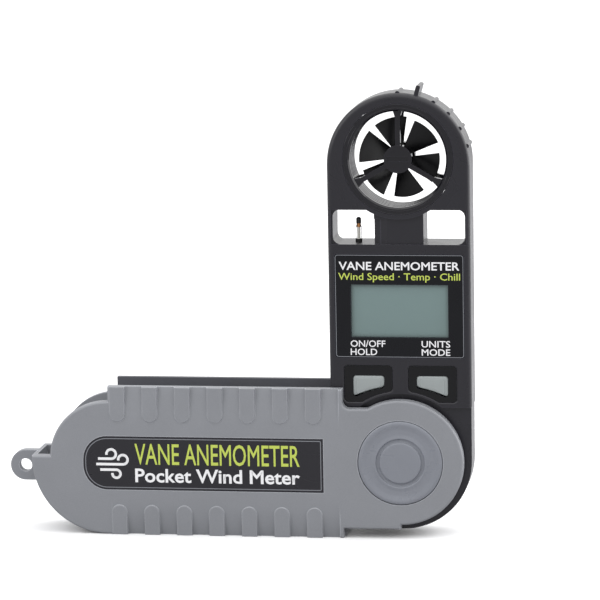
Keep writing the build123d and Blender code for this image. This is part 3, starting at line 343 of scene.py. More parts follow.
def plastic(
    name,
    colour,
    gloss,
    grain=4500.0,
    depth=0.02,
    edge=1.6,
    edge_width=0.3,
    dust=0.1,
    specular=0.5,
    drift=0.08,
    glaze=0.0,
):
    """Moulded plastic: gloss is its roughness, depth its grain in millimetres, edge how much its edges lighten
    as a painted highlight.

    glaze is the weight of a polished skin that stays dark from the front and shines at a slant.
    """
    material = bpy.data.materials.new(name)
    material.use_nodes = True
    tree = material.node_tree
    surface = tree.nodes["Principled BSDF"]
    texture = use(tree, grain_group, Grain_Scale=grain)
    edges = use(tree, edge_highlight_group, Width=edge_width * MM)
    specks = use(tree, dust_group)
    marks = use(tree, smudge_group)
    body = blend_colour(tree, texture.outputs["Drift"], shade(colour, 1 - drift), shade(colour, 1 + drift))
    tint = blend_colour(tree, texture.outputs["Grain"], *GRAIN_SHADES)
    grained = add(tree, "ShaderNodeMix", {0: 1.0, 6: body, 7: tint}, data_type="RGBA", blend_type="MULTIPLY")
    # Painted highlight: the edge mask lightens the colour along edges, which also stands for handling wear.
    worn_and_highlit = blend_colour(tree, edges.outputs["Mask"], grained.outputs[2], shade(colour, edge))
    settled = calc(tree, "MULTIPLY", specks.outputs["Mask"], dust)
    dusty = blend_colour(tree, settled, worn_and_highlit, DUST_COLOUR)
    tree.links.new(dusty, surface.inputs["Base Color"])
    rough = calc(tree, "MULTIPLY_ADD", marks.outputs["Mask"], -TOUCH_POLISH, gloss + BARE_ROUGHNESS)
    tree.links.new(calc(tree, "MULTIPLY_ADD", settled, DUST_ROUGHNESS, rough), surface.inputs["Roughness"])
    surface.inputs["Specular IOR Level"].default_value = specular
    if glaze:
        surface.inputs["IOR"].default_value = GLAZE_IOR
        surface.inputs["Coat IOR"].default_value = GLAZE_IOR
        surface.inputs["Coat Weight"].default_value = glaze
        surface.inputs["Coat Roughness"].default_value = gloss
    grains = texture.outputs["Grain"]
    bump = add(tree, "ShaderNodeBump", {"Strength": 0.6, "Distance": depth * MM, "Height": grains})
    tree.links.new(bump.outputs["Normal"], surface.inputs["Normal"])
    return material


# %% Plastics of the case and the cover
# The edge numbers say how strongly each finish's edges are lightened as a painted highlight.
PLASTICS = {
    "cover_grey": dict(colour=paint(133, 135, 140), gloss=0.44, depth=0.025, edge=2.1, edge_width=0.45),
    "cap_grey": dict(
        colour=paint(126, 129, 137), gloss=0.3, grain=6000.0, depth=0.008, edge=1.6, edge_width=0.5, dust=0.06
    ),
    "meter_black": dict(colour=paint(31, 30, 36), gloss=0.3, depth=0.02, edge=3.2, dust=0.05, glaze=1.0),
    "guard_black": dict(
        colour=paint(20, 19, 24), gloss=0.06, depth=0.001, edge=4.0, edge_width=0.2, dust=0.04, glaze=1.0
    ),
    "impeller_black": dict(
        colour=paint(9, 9, 11), gloss=0.4, depth=0.008, edge=2.0, edge_width=0.1, dust=0.04, specular=0.3
    ),
    # Painted shade: strip_black is a dark grey standing in for the shade on the inner face of the cover's rear
    # plate.
    "strip_black": dict(colour=paint(82, 83, 89), gloss=0.5, depth=0.03, edge=1.6),
    "label_black": dict(
        colour=paint(36, 35, 40), gloss=0.3, grain=7000.0, depth=0.005, edge=2.5, dust=0.03, specular=0.35
    ),
    "panel_black": dict(
        colour=paint(11, 12, 17), gloss=0.3, grain=7000.0, depth=0.005, edge=5.0, dust=0.02, specular=0.25
    ),
    # Painted shade and highlight: the key recesses are near-black, darker than the case, for the shade in them,
    # and their strong edge gain paints highlights on their rims.
    "recess_black": dict(
        colour=paint(8, 8, 11),
        gloss=0.12,
        grain=7000.0,
        depth=0.002,
        edge=8.0,
        edge_width=0.2,
        dust=0.0,
        specular=0.3,
    ),
    "button_grey": dict(
        colour=paint(146, 152, 152), gloss=0.55, grain=7000.0, depth=0.008, edge=1.25, dust=0.04
    ),
    "seal_rubber": dict(colour=paint(30, 30, 31), gloss=0.75, grain=5000.0, depth=0.02, edge=1.5),
    "holder_white": dict(colour=paint(225, 224, 218), gloss=0.45, edge=1.05),
    "chip_black": dict(colour=paint(26, 26, 27), gloss=0.6, grain=9000.0, depth=0.01, edge=2.0),
    "stem_white": dict(colour=paint(226, 224, 216), gloss=0.42, grain=8000.0, depth=0.005, edge=1.05),
    "bead_black": dict(colour=paint(14, 14, 15), gloss=0.16, grain=8000.0, depth=0.004, edge=2.0, dust=0.0),
    "nylon": dict(colour=paint(222, 219, 206), gloss=0.4, grain=6000.0, depth=0.008, edge=1.05),
}
finishes = {name: plastic(name, **values) for name, values in PLASTICS.items()}
print("plastics", len(finishes))

# %% [markdown]
# ## Metals, the circuit board and the jewels
# The axle, the screws and the contacts are turned or stamped. Turning leaves fine rings and rolling leaves
# fine lines, so one recipe stretches its noise along one axis. These parts hide inside the case, but the
# probe's ferrule and the screw heads at the back do show.

# %% The metal recipe
METAL_LINES = 2600.0
METAL_TARNISH = 0.14


def metal(name, colour, gloss, stretch=(1.0, 14.0, 1.0), depth=0.004):
    """Bare metal with fine lines, drawn out along an axis of the object."""
    material = bpy.data.materials.new(name)
    material.use_nodes = True
    tree = material.node_tree
    surface = tree.nodes["Principled BSDF"]
    where = add(tree, "ShaderNodeTexCoord").outputs["Object"]
    drawn = add(tree, "ShaderNodeMapping", {"Vector": where, "Scale": stretch}).outputs[0]
    lines = add(tree, "ShaderNodeTexNoise", {"Vector": drawn, "Scale": METAL_LINES, "Detail": 3.0})
    marks = use(tree, smudge_group, Scale=220.0)
    tone = blend_colour(tree, lines.outputs["Fac"], shade(colour, 0.86), shade(colour, 1.1))
    tree.links.new(tone, surface.inputs["Base Color"])
    rough = calc(tree, "MULTIPLY_ADD", marks.outputs["Mask"], METAL_TARNISH, gloss)
    tree.links.new(rough, surface.inputs["Roughness"])
    surface.inputs["Metallic"].default_value = 1.0
    bump = add(
        tree, "ShaderNodeBump", {"Strength": 0.5, "Distance": depth * MM, "Height": lines.outputs["Fac"]}
    )
    tree.links.new(bump.outputs["Normal"], surface.inputs["Normal"])
    return material


finishes.update(
    steel=metal("steel", paint(196, 196, 198), 0.28),
    axle_aluminium=metal("axle_aluminium", paint(205, 207, 210), 0.32),
    contact_brass=metal("contact_brass", paint(196, 140, 92), 0.26),
    cell_can=metal("cell_can", paint(206, 205, 200), 0.22, stretch=(1.0, 1.0, 9.0)),
    magnet=metal("magnet", paint(120, 120, 126), 0.3),
)

# %% Board and jewels


def speckled(name, first, second, scale, gloss, coat=0.0):
    """Two colours that meet along soft cells, for a board's copper and lacquer or the depth of a jewel."""
    material = bpy.data.materials.new(name)
    material.use_nodes = True
    tree = material.node_tree
    surface = tree.nodes["Principled BSDF"]
    where = add(tree, "ShaderNodeTexCoord").outputs["Object"]
    cells = add(tree, "ShaderNodeTexVoronoi", {"Vector": where, "Scale": scale}, distance="CHEBYCHEV")
    share = add(
        tree, "ShaderNodeMapRange", {"Value": cells.outputs["Distance"], "From Min": 0.2, "From Max": 0.35}
    )
    tree.links.new(blend_colour(tree, share.outputs[0], first, second), surface.inputs["Base Color"])
    tree.links.new(calc(tree, "MULTIPLY_ADD", share.outputs[0], 0.1, gloss), surface.inputs["Roughness"])
    surface.inputs["Coat Weight"].default_value = coat
    return material


finishes.update(
    board_green=speckled("board_green", paint(38, 92, 58), paint(24, 70, 46), 700.0, 0.3, coat=0.4),
    jewel=speckled("jewel", paint(150, 28, 44), paint(120, 20, 36), 1500.0, 0.08, coat=1.0),
)

# %% [markdown]
# ## The display
# With the power off, a reflective liquid crystal cell is a grey-green. Its colour is darkened as painted shade
# along its edges, where the gasket shades it, and a little towards the bottom. The colour lies under glass, so
# the surface is matt colour with a clear coat.
# The darker border is measured from the pane's own edges with Object coordinates.

# %% Display finish
BORDER_SHADED, BORDER_CLEAR = 1.3, 2.7
CLOUDING = 0.12
GLASS_SMEAR = 0.05


def display_cell(name, colour, gloss):
    """Grey-green cell under glass, with painted shade near the edges of the display window and towards its
    bottom.
    """
    low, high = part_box("lcd_window")
    material = bpy.data.materials.new(name)
    material.use_nodes = True
    tree = material.node_tree
    surface = tree.nodes["Principled BSDF"]
    where = add(tree, "ShaderNodeTexCoord").outputs["Object"]
    place = add(tree, "ShaderNodeSeparateXYZ", {0: where})
    margins = []
    for axis, first, last in (("X", low.x, high.x), ("Z", low.z, high.z)):
        before = calc(tree, "SUBTRACT", place.outputs[axis], first)
        after = calc(tree, "SUBTRACT", last, place.outputs[axis])
        margins.append(calc(tree, "MINIMUM", before, after))
    nearest = calc(tree, "MINIMUM", *margins)
    inside = add(
        tree,
        "ShaderNodeMapRange",
        {"Value": nearest, "From Min": BORDER_SHADED * MM, "From Max": BORDER_CLEAR * MM},
        interpolation_type="SMOOTHSTEP",
    )
    # Painted shade: the colour is darker towards the bottom of the window and lighter towards its top.
    up = place.outputs["Z"]
    rise = add(tree, "ShaderNodeMapRange", {"Value": up, "From Min": low.z, "From Max": high.z})
    cloud = add(tree, "ShaderNodeTexNoise", {"Vector": where, "Scale": 70.0, "Detail": 2.0})
    tone = blend_colour(tree, rise.outputs[0], shade(colour, 0.93), shade(colour, 1.06))
    haze = calc(tree, "MULTIPLY", cloud.outputs["Fac"], CLOUDING)
    clouded = blend_colour(tree, haze, tone, shade(colour, 1.25))
    # Painted shade: the border along the window's edges is darkened in colour.
    painted_border_shade = blend_colour(tree, inside.outputs[0], shade(colour, 0.72), clouded)
    tree.links.new(painted_border_shade, surface.inputs["Base Color"])
    marks = use(tree, smudge_group, Scale=120.0)
    rough = calc(tree, "MULTIPLY_ADD", marks.outputs["Mask"], GLASS_SMEAR, gloss)
    tree.links.new(rough, surface.inputs["Roughness"])
    surface.inputs["Coat Weight"].default_value = 0.6
    surface.inputs["Coat Roughness"].default_value = 0.05
    return material


finishes["display_window"] = display_cell("display_window", paint(106, 127, 126), 0.45)
finishes["display_glass"] = display_cell("display_glass", paint(112, 128, 122), 0.3)

# %% Dress every part of the frame
for name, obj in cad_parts.items():
    for place in obj.material_slots:
        place.material = finishes[place.material.name.split(".")[0]]
print("dressed", len(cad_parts), "parts in", len(finishes), "finishes")

# %% [markdown]
# ## Skins over rings
# Caps, hubs and keys are all a stack of closed rings with a skin over them. A lathe could turn the round
# ones, but one small skinning helper makes both round and odd outlines, with clean poles and no doubled
# points.

# %% Skinning helpers


def skin(rings):
    """Closed mesh over a stack of rings of equal length; a ring of one point is a pole."""
    work = bmesh.new()
    loops = [[work.verts.new(p) for p in ring] for ring in rings]
    for below, above in zip(loops, loops[1:]):
        count = max(len(below), len(above))
        for i in range(count):
            j = (i + 1) % count
            lower = [below[i % len(below)], below[j % len(below)]]
            upper = [above[j % len(above)], above[i % len(above)]]
            work.faces.new(list(dict.fromkeys(lower + upper)))
    bmesh.ops.recalc_face_normals(work, faces=work.faces)
    mesh = bpy.data.meshes.new("skin")
    work.to_mesh(mesh)
    work.free()
    return mesh


def turned(profile, steps=144):
    """Rings of a turned shape from (radius, height) points; a radius of 0 gives a pole."""
    angles = [2 * math.pi * i / steps for i in range(steps)]
    return [
        [(radius * math.cos(a), radius * math.sin(a), height) for a in angles] if radius else [(0, 0, height)]
        for radius, height in profile
    ]


def ease_corners(points, radius, steps=6, closed=False):
    """Flat line through points with its corners rounded."""
    out = []
    count = len(points)
    for i, corner in enumerate(points):
        if not closed and i in (0, count - 1):
            out.append(tuple(corner))
            continue
        here = Vector(corner)
        before, after = Vector(points[i - 1]) - here, Vector(points[(i + 1) % count]) - here
        start = here + before.normalized() * min(radius, before.length / 2)
        end = here + after.normalized() * min(radius, after.length / 2)
        for k in range(steps + 1):
            t = k / steps
            out.append(tuple(start * (1 - t) ** 2 + here * 2 * t * (1 - t) + end * t**2))
    return out


def finish_piece(name, mesh, finish, placed, body, replaced=(), sharp=35):
    """Puts a finished mesh in its place and hands it to the frame."""
    mesh.name = name
    mesh.transform(placed)
    mesh.materials.clear()
    mesh.materials.append(finish)
    mesh.polygons.foreach_set("use_smooth", [True] * len(mesh.polygons))
    mesh.set_sharp_from_angle(angle=math.radians(sharp))
    mesh.update()
    obj = bpy.data.objects.new(name, mesh)
    scene.collection.objects.link(obj)
    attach(obj, body)
    if replaced:
        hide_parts(*replaced)
    print(name, len(mesh.polygons), "faces, rides", body)
    return obj


# %% [markdown]
# ## Pivot caps
# A round cap snaps over the pivot screw on each side. Its rim is rolled, the land inside it is dished so that
# it catches the light, and a groove rings the flat middle. A boolean of discs gives only flat steps, so the
# cap is turned from a drawn profile instead, which gives the dish and the soft rim.

# %% Turn the two caps
GROOVE_OUTER, GROOVE_INNER, GROOVE_DEPTH = 7.25, 6.45, 0.75

cap_low, cap_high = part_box("pivot_cap_front")
cap_radius = (cap_high.x - cap_low.x) / 2 / MM
cap_depth = (cap_high.y - cap_low.y) / MM
cap_profile = [
    (0, 0),
    *ease_corners(
        [
            (cap_radius - 0.2, 0.0),
            (cap_radius, 0.2),
            (cap_radius, cap_depth - 0.55),
            (cap_radius - 0.35, cap_depth - 0.12),
            (cap_radius - 1.1, cap_depth),
            (cap_radius - 2.6, cap_depth - 0.32),
            (cap_radius - 4.2, cap_depth - 0.36),
            (GROOVE_OUTER + 0.2, cap_depth - 0.1),
            (GROOVE_OUTER, cap_depth - GROOVE_DEPTH),
            (GROOVE_INNER, cap_depth - GROOVE_DEPTH),
            (GROOVE_INNER - 0.25, cap_depth - 0.12),
            (GROOVE_INNER - 0.55, cap_depth - 0.02),
            (0.5, cap_depth),
        ],
        0.35,
    ),
    (0, cap_depth),
]
for name, node, stand, seat in (
    ("cap_disc_front", "pivot_cap_front", facing_front, cap_high.y),
    ("cap_disc_rear", "pivot_cap_rear", facing_back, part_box("pivot_cap_rear")[0].y),
):
    placed = stand(pivot.x, seat, pivot.z)
    disc = finish_piece(name, skin(turned(cap_profile)), finishes["cap_grey"], placed, "cover", [node])

# %% [markdown]
# ## Keys
# The two keys are soft rubber with a crowned top, hollowed below where the round cheek sweeps past. Each is
# a skin over its own outline: the rings step up the side wall, round the shoulder and rise to a low crown.

# %% Mould the two keys
KEY_DEPTH = 2.1
KEY_CROWN = 0.16
KEY_SHOULDER = 0.5
KEY_CORNER = 1.1
KEY_SLANT = 3.0
KEY_HOLLOW = 0.35
KEY_FLANGE = 0.9


def key_rings(outline):
    """Rings from the key's buried foot up to the middle of its crowned top."""
    centre = Vector((sum(p[0] for p in outline), sum(p[1] for p in outline))) / len(outline)
    size = min((Vector(p) - centre).length for p in outline)
    brow = KEY_DEPTH - KEY_CROWN
    bends = [(1 - math.cos(a), 1 - math.sin(a)) for a in (0.0, 0.4, 0.8, 1.2)]
    levels = [(0.0, 0.0)] + [(KEY_SHOULDER * across, brow - KEY_SHOULDER * down) for across, down in bends]
    levels += [(size * part, KEY_DEPTH - KEY_CROWN * (1 - part) ** 2) for part in (0.25, 0.45, 0.65, 0.85)]
    rings = []
    for inset, height in levels:
        keep = 1 - inset / size
        rings.append([(*(centre + (Vector(p) - centre) * keep), height) for p in outline])
    return [[(*centre, 0.0)], *rings, [(*centre, KEY_DEPTH)]]


for name, node, body, side in (
    ("power_key_cap", "power_button", "power_key", -1),
    ("mode_key_cap", "mode_button", "mode_key", 1),
):
    low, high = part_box(node)
    near, far = sorted(abs(x - pivot.x) / MM for x in (low.x, high.x))
    inner, outer = near + KEY_FLANGE, far - KEY_FLANGE
    top, bottom = high.z / MM - KEY_FLANGE, low.z / MM + KEY_FLANGE
    lower_edge = [
        (side * (outer + (inner - outer) * t), bottom + KEY_SLANT * t + 4 * KEY_HOLLOW * t * (1 - t))
        for t in (0.0, 0.25, 0.5, 0.75, 1.0)
    ]
    outline = ease_corners([(side * inner, top), (side * outer, top), *lower_edge], KEY_CORNER, closed=True)
    placed = facing_front(pivot.x, low.y + KEY_DEPTH * MM, 0)
    key = finish_piece(name, skin(key_rings(outline)), finishes["button_grey"], placed, body, [node], 50)

# %% [markdown]
# ## Running a geometry tree
# Geometry Nodes make what repeats or follows a line. The tree is built here in full, its sizes are inputs
# with names, and the helper reads the result back as a plain mesh, because an export keeps neither the
# modifier nor its instances.

# %% Tree runner
GEOMETRY = "GeometryNodeTree"
SOLID = "NodeSocketGeometry"
COUNT = "NodeSocketInt"
FINISH = "NodeSocketMaterial"


def grow(tree, start, values):
    """Runs a tree on a starting mesh and gives the result as a plain mesh."""
    blank = bpy.data.objects.new("blank", start)
    scene.collection.objects.link(blank)
    step = blank.modifiers.new("grow", "NODES")
    step.node_group = tree
    for item in tree.interface.items_tree:
        if item.in_out == "INPUT" and item.name in values:
            step[item.identifier] = values[item.name]
    bpy.context.view_layer.update()
    made = bpy.data.meshes.new_from_object(blank.evaluated_get(bpy.context.evaluated_depsgraph_get()))
    bpy.data.objects.remove(blank)
    return made


def end_tree(tree, solid, given, result):
    """Ends a tree in Realize Instances and Set Material."""
    real = add(tree, "GeometryNodeRealizeInstances", {"Geometry": solid})
    dressed = add(
        tree, "GeometryNodeSetMaterial", {"Geometry": real.outputs[0], "Material": given.outputs["Finish"]}
    )
    tree.links.new(dressed.outputs[0], result.inputs["Geometry"])


# %% [markdown]
# ## The vane
# Wind turns a six-bladed vane. Each blade is a sheet that twists about the spindle, so that it covers the
# same angle at every radius. That is a rule, so a grid is bent by arithmetic on its two coordinates, given a
# thickness, and set round the hub six times. Bending a box by hand would drift from blade to blade.

# %% The blade tree
vane_tree, given, result = new_group(
    "vane_blades",
    GEOMETRY,
    [
        ("Geometry", SOLID, None),
        ("Blades", COUNT, 6),
        ("Root", FLOAT, 2.5),
        ("Tip", FLOAT, 12.0),
        ("Half Angle", FLOAT, 0.4),
        ("Depth", FLOAT, 4.0),
        ("Camber", FLOAT, 0.3),
        ("Thickness", FLOAT, 0.5),
        ("Phase", FLOAT, 0.0),
        ("Finish", FINISH, None),
    ],
    [("Geometry", SOLID)],
)
sheet = add(
    vane_tree, "GeometryNodeMeshGrid", {"Size X": 1.0, "Size Y": 1.0, "Vertices X": 14, "Vertices Y": 15}
)
spot = add(vane_tree, "ShaderNodeSeparateXYZ", {0: add(vane_tree, "GeometryNodeInputPosition").outputs[0]})
along = calc(vane_tree, "ADD", spot.outputs["X"], 0.5)
across = calc(vane_tree, "MULTIPLY", spot.outputs["Y"], 2.0)
reach = calc(vane_tree, "SUBTRACT", given.outputs["Tip"], given.outputs["Root"])
radius = calc(vane_tree, "MULTIPLY_ADD", along, reach, given.outputs["Root"])
angle = calc(vane_tree, "MULTIPLY", across, given.outputs["Half Angle"])
square = calc(vane_tree, "MULTIPLY", across, across)
hump = calc(vane_tree, "MULTIPLY", calc(vane_tree, "SUBTRACT", 1.0, square), given.outputs["Camber"])
half_pitch = calc(vane_tree, "MULTIPLY", given.outputs["Depth"], 0.5)
height = calc(vane_tree, "MULTIPLY_ADD", across, half_pitch, hump)
bent = add(
    vane_tree,
    "ShaderNodeCombineXYZ",
    {
        0: calc(vane_tree, "MULTIPLY", radius, calc(vane_tree, "COSINE", angle)),
        1: calc(vane_tree, "MULTIPLY", radius, calc(vane_tree, "SINE", angle)),
        2: height,
    },
)
blade = add(
    vane_tree, "GeometryNodeSetPosition", {"Geometry": sheet.outputs["Mesh"], "Position": bent.outputs[0]}
)
thick = add(
    vane_tree,
    "GeometryNodeExtrudeMesh",
    {"Mesh": blade.outputs[0], "Offset Scale": given.outputs["Thickness"], "Individual": False},
)
under = add(vane_tree, "GeometryNodeFlipFaces", {"Mesh": blade.outputs[0]})
shell = add(vane_tree, "GeometryNodeJoinGeometry")
vane_tree.links.new(under.outputs[0], shell.inputs[0])
vane_tree.links.new(thick.outputs["Mesh"], shell.inputs[0])
closed = add(vane_tree, "GeometryNodeMergeByDistance", {"Geometry": shell.outputs[0], "Distance": 0.001})
seats = add(vane_tree, "GeometryNodeMeshLine", {"Count": given.outputs["Blades"], "Offset": (0.0, 0.0, 0.0)})
share = calc(vane_tree, "DIVIDE", 2 * math.pi, given.outputs["Blades"])
number = add(vane_tree, "GeometryNodeInputIndex").outputs[0]
heading = calc(vane_tree, "MULTIPLY_ADD", number, share, given.outputs["Phase"])
angles = add(vane_tree, "ShaderNodeCombineXYZ", {2: heading})
spin = add(vane_tree, "FunctionNodeEulerToRotation", {0: angles.outputs[0]})
blades = add(
    vane_tree,
    "GeometryNodeInstanceOnPoints",
    {"Points": seats.outputs[0], "Instance": closed.outputs[0], "Rotation": spin.outputs[0]},
)
wheel = add(vane_tree, "GeometryNodeJoinGeometry")
vane_tree.links.new(given.outputs["Geometry"], wheel.inputs[0])
vane_tree.links.new(blades.outputs[0], wheel.inputs[0])
end_tree(vane_tree, wheel.outputs[0], given, result)

# %% Grow the vane
vane_low, vane_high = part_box("impeller")
HUB_RADIUS, HUB_ROUNDING = 3.0, 0.5
BLADES, BLADE_HALF_ANGLE, FIRST_BLADE = 6, 23.0, 44.0
BLADE_CAMBER, BLADE_THICKNESS, BLADE_ROOT_DEPTH = 0.25, 0.45, 0.5
EDGE_MARGIN = 1.2

half_depth = (vane_high.y - vane_low.y) / 2 / MM
tip = (vane_high.z - vane_low.z) / 2 / MM
hub = skin(
    turned(
        [
            (0, -half_depth),
            *ease_corners(
                [
                    (1.0, -half_depth),
                    (HUB_RADIUS, -half_depth),
                    (HUB_RADIUS, half_depth),
                    (1.0, half_depth),
                ],
                HUB_ROUNDING,
            ),
            (0, half_depth),
        ],
        48,
    )
)
vane_mesh = grow(
    vane_tree,
    hub,
    {
        "Blades": BLADES,
        "Root": HUB_RADIUS - BLADE_ROOT_DEPTH,
        "Tip": tip,
        "Half Angle": math.radians(BLADE_HALF_ANGLE),
        "Depth": 2 * half_depth - EDGE_MARGIN,
        "Camber": BLADE_CAMBER,
        "Thickness": BLADE_THICKNESS,
        "Phase": math.radians(FIRST_BLADE),
        "Finish": finishes["impeller_black"],
    },
)
heights = [v.co.z for v in vane_mesh.vertices]
print("vane spans", round(min(heights), 2), "to", round(max(heights), 2), "mm along its spindle")
placed = facing_front(duct.x, (vane_low.y + vane_high.y) / 2, duct.z)
black = finishes["impeller_black"]
vane = finish_piece("vane_wheel", vane_mesh, black, placed, "impeller_rotor", ["impeller"])

# %% [markdown]
# ## Rings in the duct
# The inside of the duct is stepped in fine rings, and the guard's face carries two thin beads. A ring
# repeated at equal steps is one instance on a line of points.

# %% The ring tree
ring_tree, given, result = new_group(
    "stepped_rings",
    GEOMETRY,
    [
        ("Geometry", SOLID, None),
        ("Rings", COUNT, 4),
        ("Ring Radius", FLOAT, 14.0),
        ("Bead Radius", FLOAT, 0.1),
        ("First", FLOAT, 0.0),
        ("Pitch", FLOAT, 1.0),
        ("Widening", FLOAT, 0.0),
        ("Finish", FINISH, None),
    ],
    [("Geometry", SOLID)],
)
path = add(ring_tree, "GeometryNodeCurvePrimitiveCircle", {"Resolution": 144, "Radius": 1.0})
bead = add(
    ring_tree, "GeometryNodeCurvePrimitiveCircle", {"Resolution": 8, "Radius": given.outputs["Bead Radius"]}
)
start = add(ring_tree, "ShaderNodeCombineXYZ", {2: given.outputs["First"]})
pitch = add(ring_tree, "ShaderNodeCombineXYZ", {2: given.outputs["Pitch"]})
seats = add(
    ring_tree,
    "GeometryNodeMeshLine",
    {"Count": given.outputs["Rings"], "Start Location": start.outputs[0], "Offset": pitch.outputs[0]},
)
number = add(ring_tree, "GeometryNodeInputIndex").outputs[0]
wider = calc(ring_tree, "MULTIPLY_ADD", number, given.outputs["Widening"], given.outputs["Ring Radius"])
size = add(ring_tree, "ShaderNodeCombineXYZ", {0: wider, 1: wider, 2: 1.0})
hoops = add(
    ring_tree,
    "GeometryNodeInstanceOnPoints",
    {"Points": seats.outputs[0], "Instance": path.outputs[0], "Scale": size.outputs[0]},
)
loose = add(ring_tree, "GeometryNodeRealizeInstances", {"Geometry": hoops.outputs[0]})
swept = add(
    ring_tree, "GeometryNodeCurveToMesh", {"Curve": loose.outputs[0], "Profile Curve": bead.outputs[0]}
)
end_tree(ring_tree, swept.outputs[0], given, result)

# %% Lay the rings
DUCT_RADIUS = 14.4
RING_STEP, RING_THICKNESS = 2.1, 0.11
BEAD_STEP, BEAD_THICKNESS = 1.0, 0.1
BURIED = 0.02

case_half = -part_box("front_guard")[0].y / MM
for name, count, ring_radius, bead_radius, first, pitch, widening in (
    ("duct_rings", 5, DUCT_RADIUS + BURIED, RING_THICKNESS, RING_STEP - case_half, RING_STEP, 0.0),
    ("guard_beads", 2, DUCT_RADIUS + BEAD_STEP, BEAD_THICKNESS, case_half - BURIED, 0.0, BEAD_STEP),
):
    mesh = grow(
        ring_tree,
        bpy.data.meshes.new("empty"),
        {
            "Rings": count,
            "Ring Radius": ring_radius,
            "Bead Radius": bead_radius,
            "First": first,
            "Pitch": pitch,
            "Widening": widening,
            "Finish": finishes["guard_black"],
        },
    )
    rings = finish_piece(name, mesh, finishes["guard_black"], facing_front(duct.x, 0, duct.z), "meter")

# %% [markdown]
# ## Printed lines
# A thin line frames the name on the cover and another runs round the display panel. Each is a path with round
# corners that a flat strip follows, so one tree makes them all, and the wind sign on the cover as well.

# %% The printed line tree
line_tree, given, result = new_group(
    "printed_line",
    GEOMETRY,
    [
        ("Geometry", SOLID, None),
        ("Corner", FLOAT, 1.0),
        ("Width", FLOAT, 0.2),
        ("Rise", FLOAT, 0.04),
        ("Finish", FINISH, None),
    ],
    [("Geometry", SOLID)],
)
path = add(line_tree, "GeometryNodeMeshToCurve", {"Mesh": given.outputs["Geometry"]})
soft = add(
    line_tree,
    "GeometryNodeFilletCurve",
    {"Curve": path.outputs[0], "Count": 10, "Radius": given.outputs["Corner"], "Limit Radius": True},
    mode="POLY",
)
upright = add(line_tree, "GeometryNodeSetCurveNormal", {"Curve": soft.outputs[0]}, mode="Z_UP")
strip = add(
    line_tree,
    "GeometryNodeCurvePrimitiveQuadrilateral",
    {"Width": given.outputs["Width"], "Height": given.outputs["Rise"]},
)
laid = add(
    line_tree,
    "GeometryNodeCurveToMesh",
    {"Curve": upright.outputs[0], "Profile Curve": strip.outputs[0], "Fill Caps": True},
)
end_tree(line_tree, laid.outputs[0], given, result)


def printed_line(points, corner, width, rise, finish, closed=True):
    """Flat strip along a path of points in millimetres."""
    start = bpy.data.meshes.new("path")
    edges = [(i, i + 1) for i in range(len(points) - 1)] + ([(len(points) - 1, 0)] if closed else [])
    start.from_pydata([(x, y, 0) for x, y in points], edges, [])
    return grow(line_tree, start, {"Corner": corner, "Width": width, "Rise": rise, "Finish": finish})


# %% [markdown]
# ## Inks
# Screen-printed ink is a thin matt layer. It is a plastic with almost no grain, so the same recipe serves
# with gentler numbers.

# %% Ink finishes
INK_RISE = 0.03
INKS = {
    name: plastic("ink_" + name, colour, 0.5, grain=9000.0, depth=0.002, edge=1.0, dust=0.0, drift=drift)
    for name, colour, drift in (
        ("white", paint(236, 236, 238), 0.03),
        ("lime", paint(190, 205, 88), 0.03),
        ("grey", paint(128, 130, 136), 0.05),
    )
}
print("inks", list(INKS))

# %% [markdown]
# ## Lettering
# The words are text curves. The curve's own offset would make a bold face, but it folds over at sharp corners
# such as an M's, so the flat letters become a mesh first and their outline is pushed outwards edge by edge. A
# hair of thickness then lets them stand on the label as ink does. Each line is sized by the height of its
# capitals and by its length, which is how printed lettering is specified.

# %% Lettering helpers
SHARPEST = 0.6
WELD = 0.0005


def thicken(work, bold):
    """Pushes the outline of flat letters outwards, square to its own edges."""
    pushes = {}
    for edge in work.edges:
        if not edge.is_boundary:
            continue
        loop = edge.link_loops[0]
        tail, head = loop.vert, loop.link_loop_next.vert
        along = (head.co - tail.co).normalized()
        for vert in (tail, head):
            pushes.setdefault(vert, []).append(Vector((along.y, -along.x, 0)))
    for vert, sides in pushes.items():
        total = sum(sides, Vector())
        spread = 1 + (sides[0].dot(sides[-1]) if len(sides) == 2 else 1)
        vert.co += total * bold / max(spread, SHARPEST)


def text_mesh(words, bold):
    """Letters with a baseline at y = 0, one unit of type size and one unit of thickness."""
    curve = bpy.data.curves.new("words", "FONT")
    curve.body = words
    curve.size = 1.0
    curve.resolution_u = 3
    holder = bpy.data.objects.new("words", curve)
    scene.collection.objects.link(holder)
    bpy.context.view_layer.update()
    flat = bpy.data.meshes.new_from_object(holder.evaluated_get(bpy.context.evaluated_depsgraph_get()))
    bpy.data.objects.remove(holder)
    work = bmesh.new()
    work.from_mesh(flat)
    bmesh.ops.remove_doubles(work, verts=work.verts, dist=1e-5)
    for face in work.faces:
        if face.normal.z < 0:
            face.normal_flip()
    thicken(work, bold)
    raised = bmesh.ops.extrude_face_region(work, geom=work.faces[:], use_keep_orig=True)["geom"]
    for part in raised:
        if isinstance(part, bmesh.types.BMVert):
            part.co.z += 1.0
    bmesh.ops.recalc_face_normals(work, faces=work.faces)
    mesh = bpy.data.meshes.new("words")
    work.to_mesh(mesh)
    work.free()
    return mesh


CAPITAL_HEIGHT = max(v.co.y for v in text_mesh("H", 0.0).vertices)


def lettering(words, left, baseline, capitals, length, bold):
    """One line of words in millimetres, sized by its capitals' height and its length."""
    mesh = text_mesh(words, bold)
    start = min(v.co.x for v in mesh.vertices)
    spread = max(v.co.x for v in mesh.vertices) - start
    scale = capitals / CAPITAL_HEIGHT
    mesh.transform(
        Matrix.Translation((left, baseline, 0))
        @ Matrix.Diagonal((length / spread, scale, INK_RISE, 1))
        @ Matrix.Translation((-start, 0, 0))
    )
    return mesh


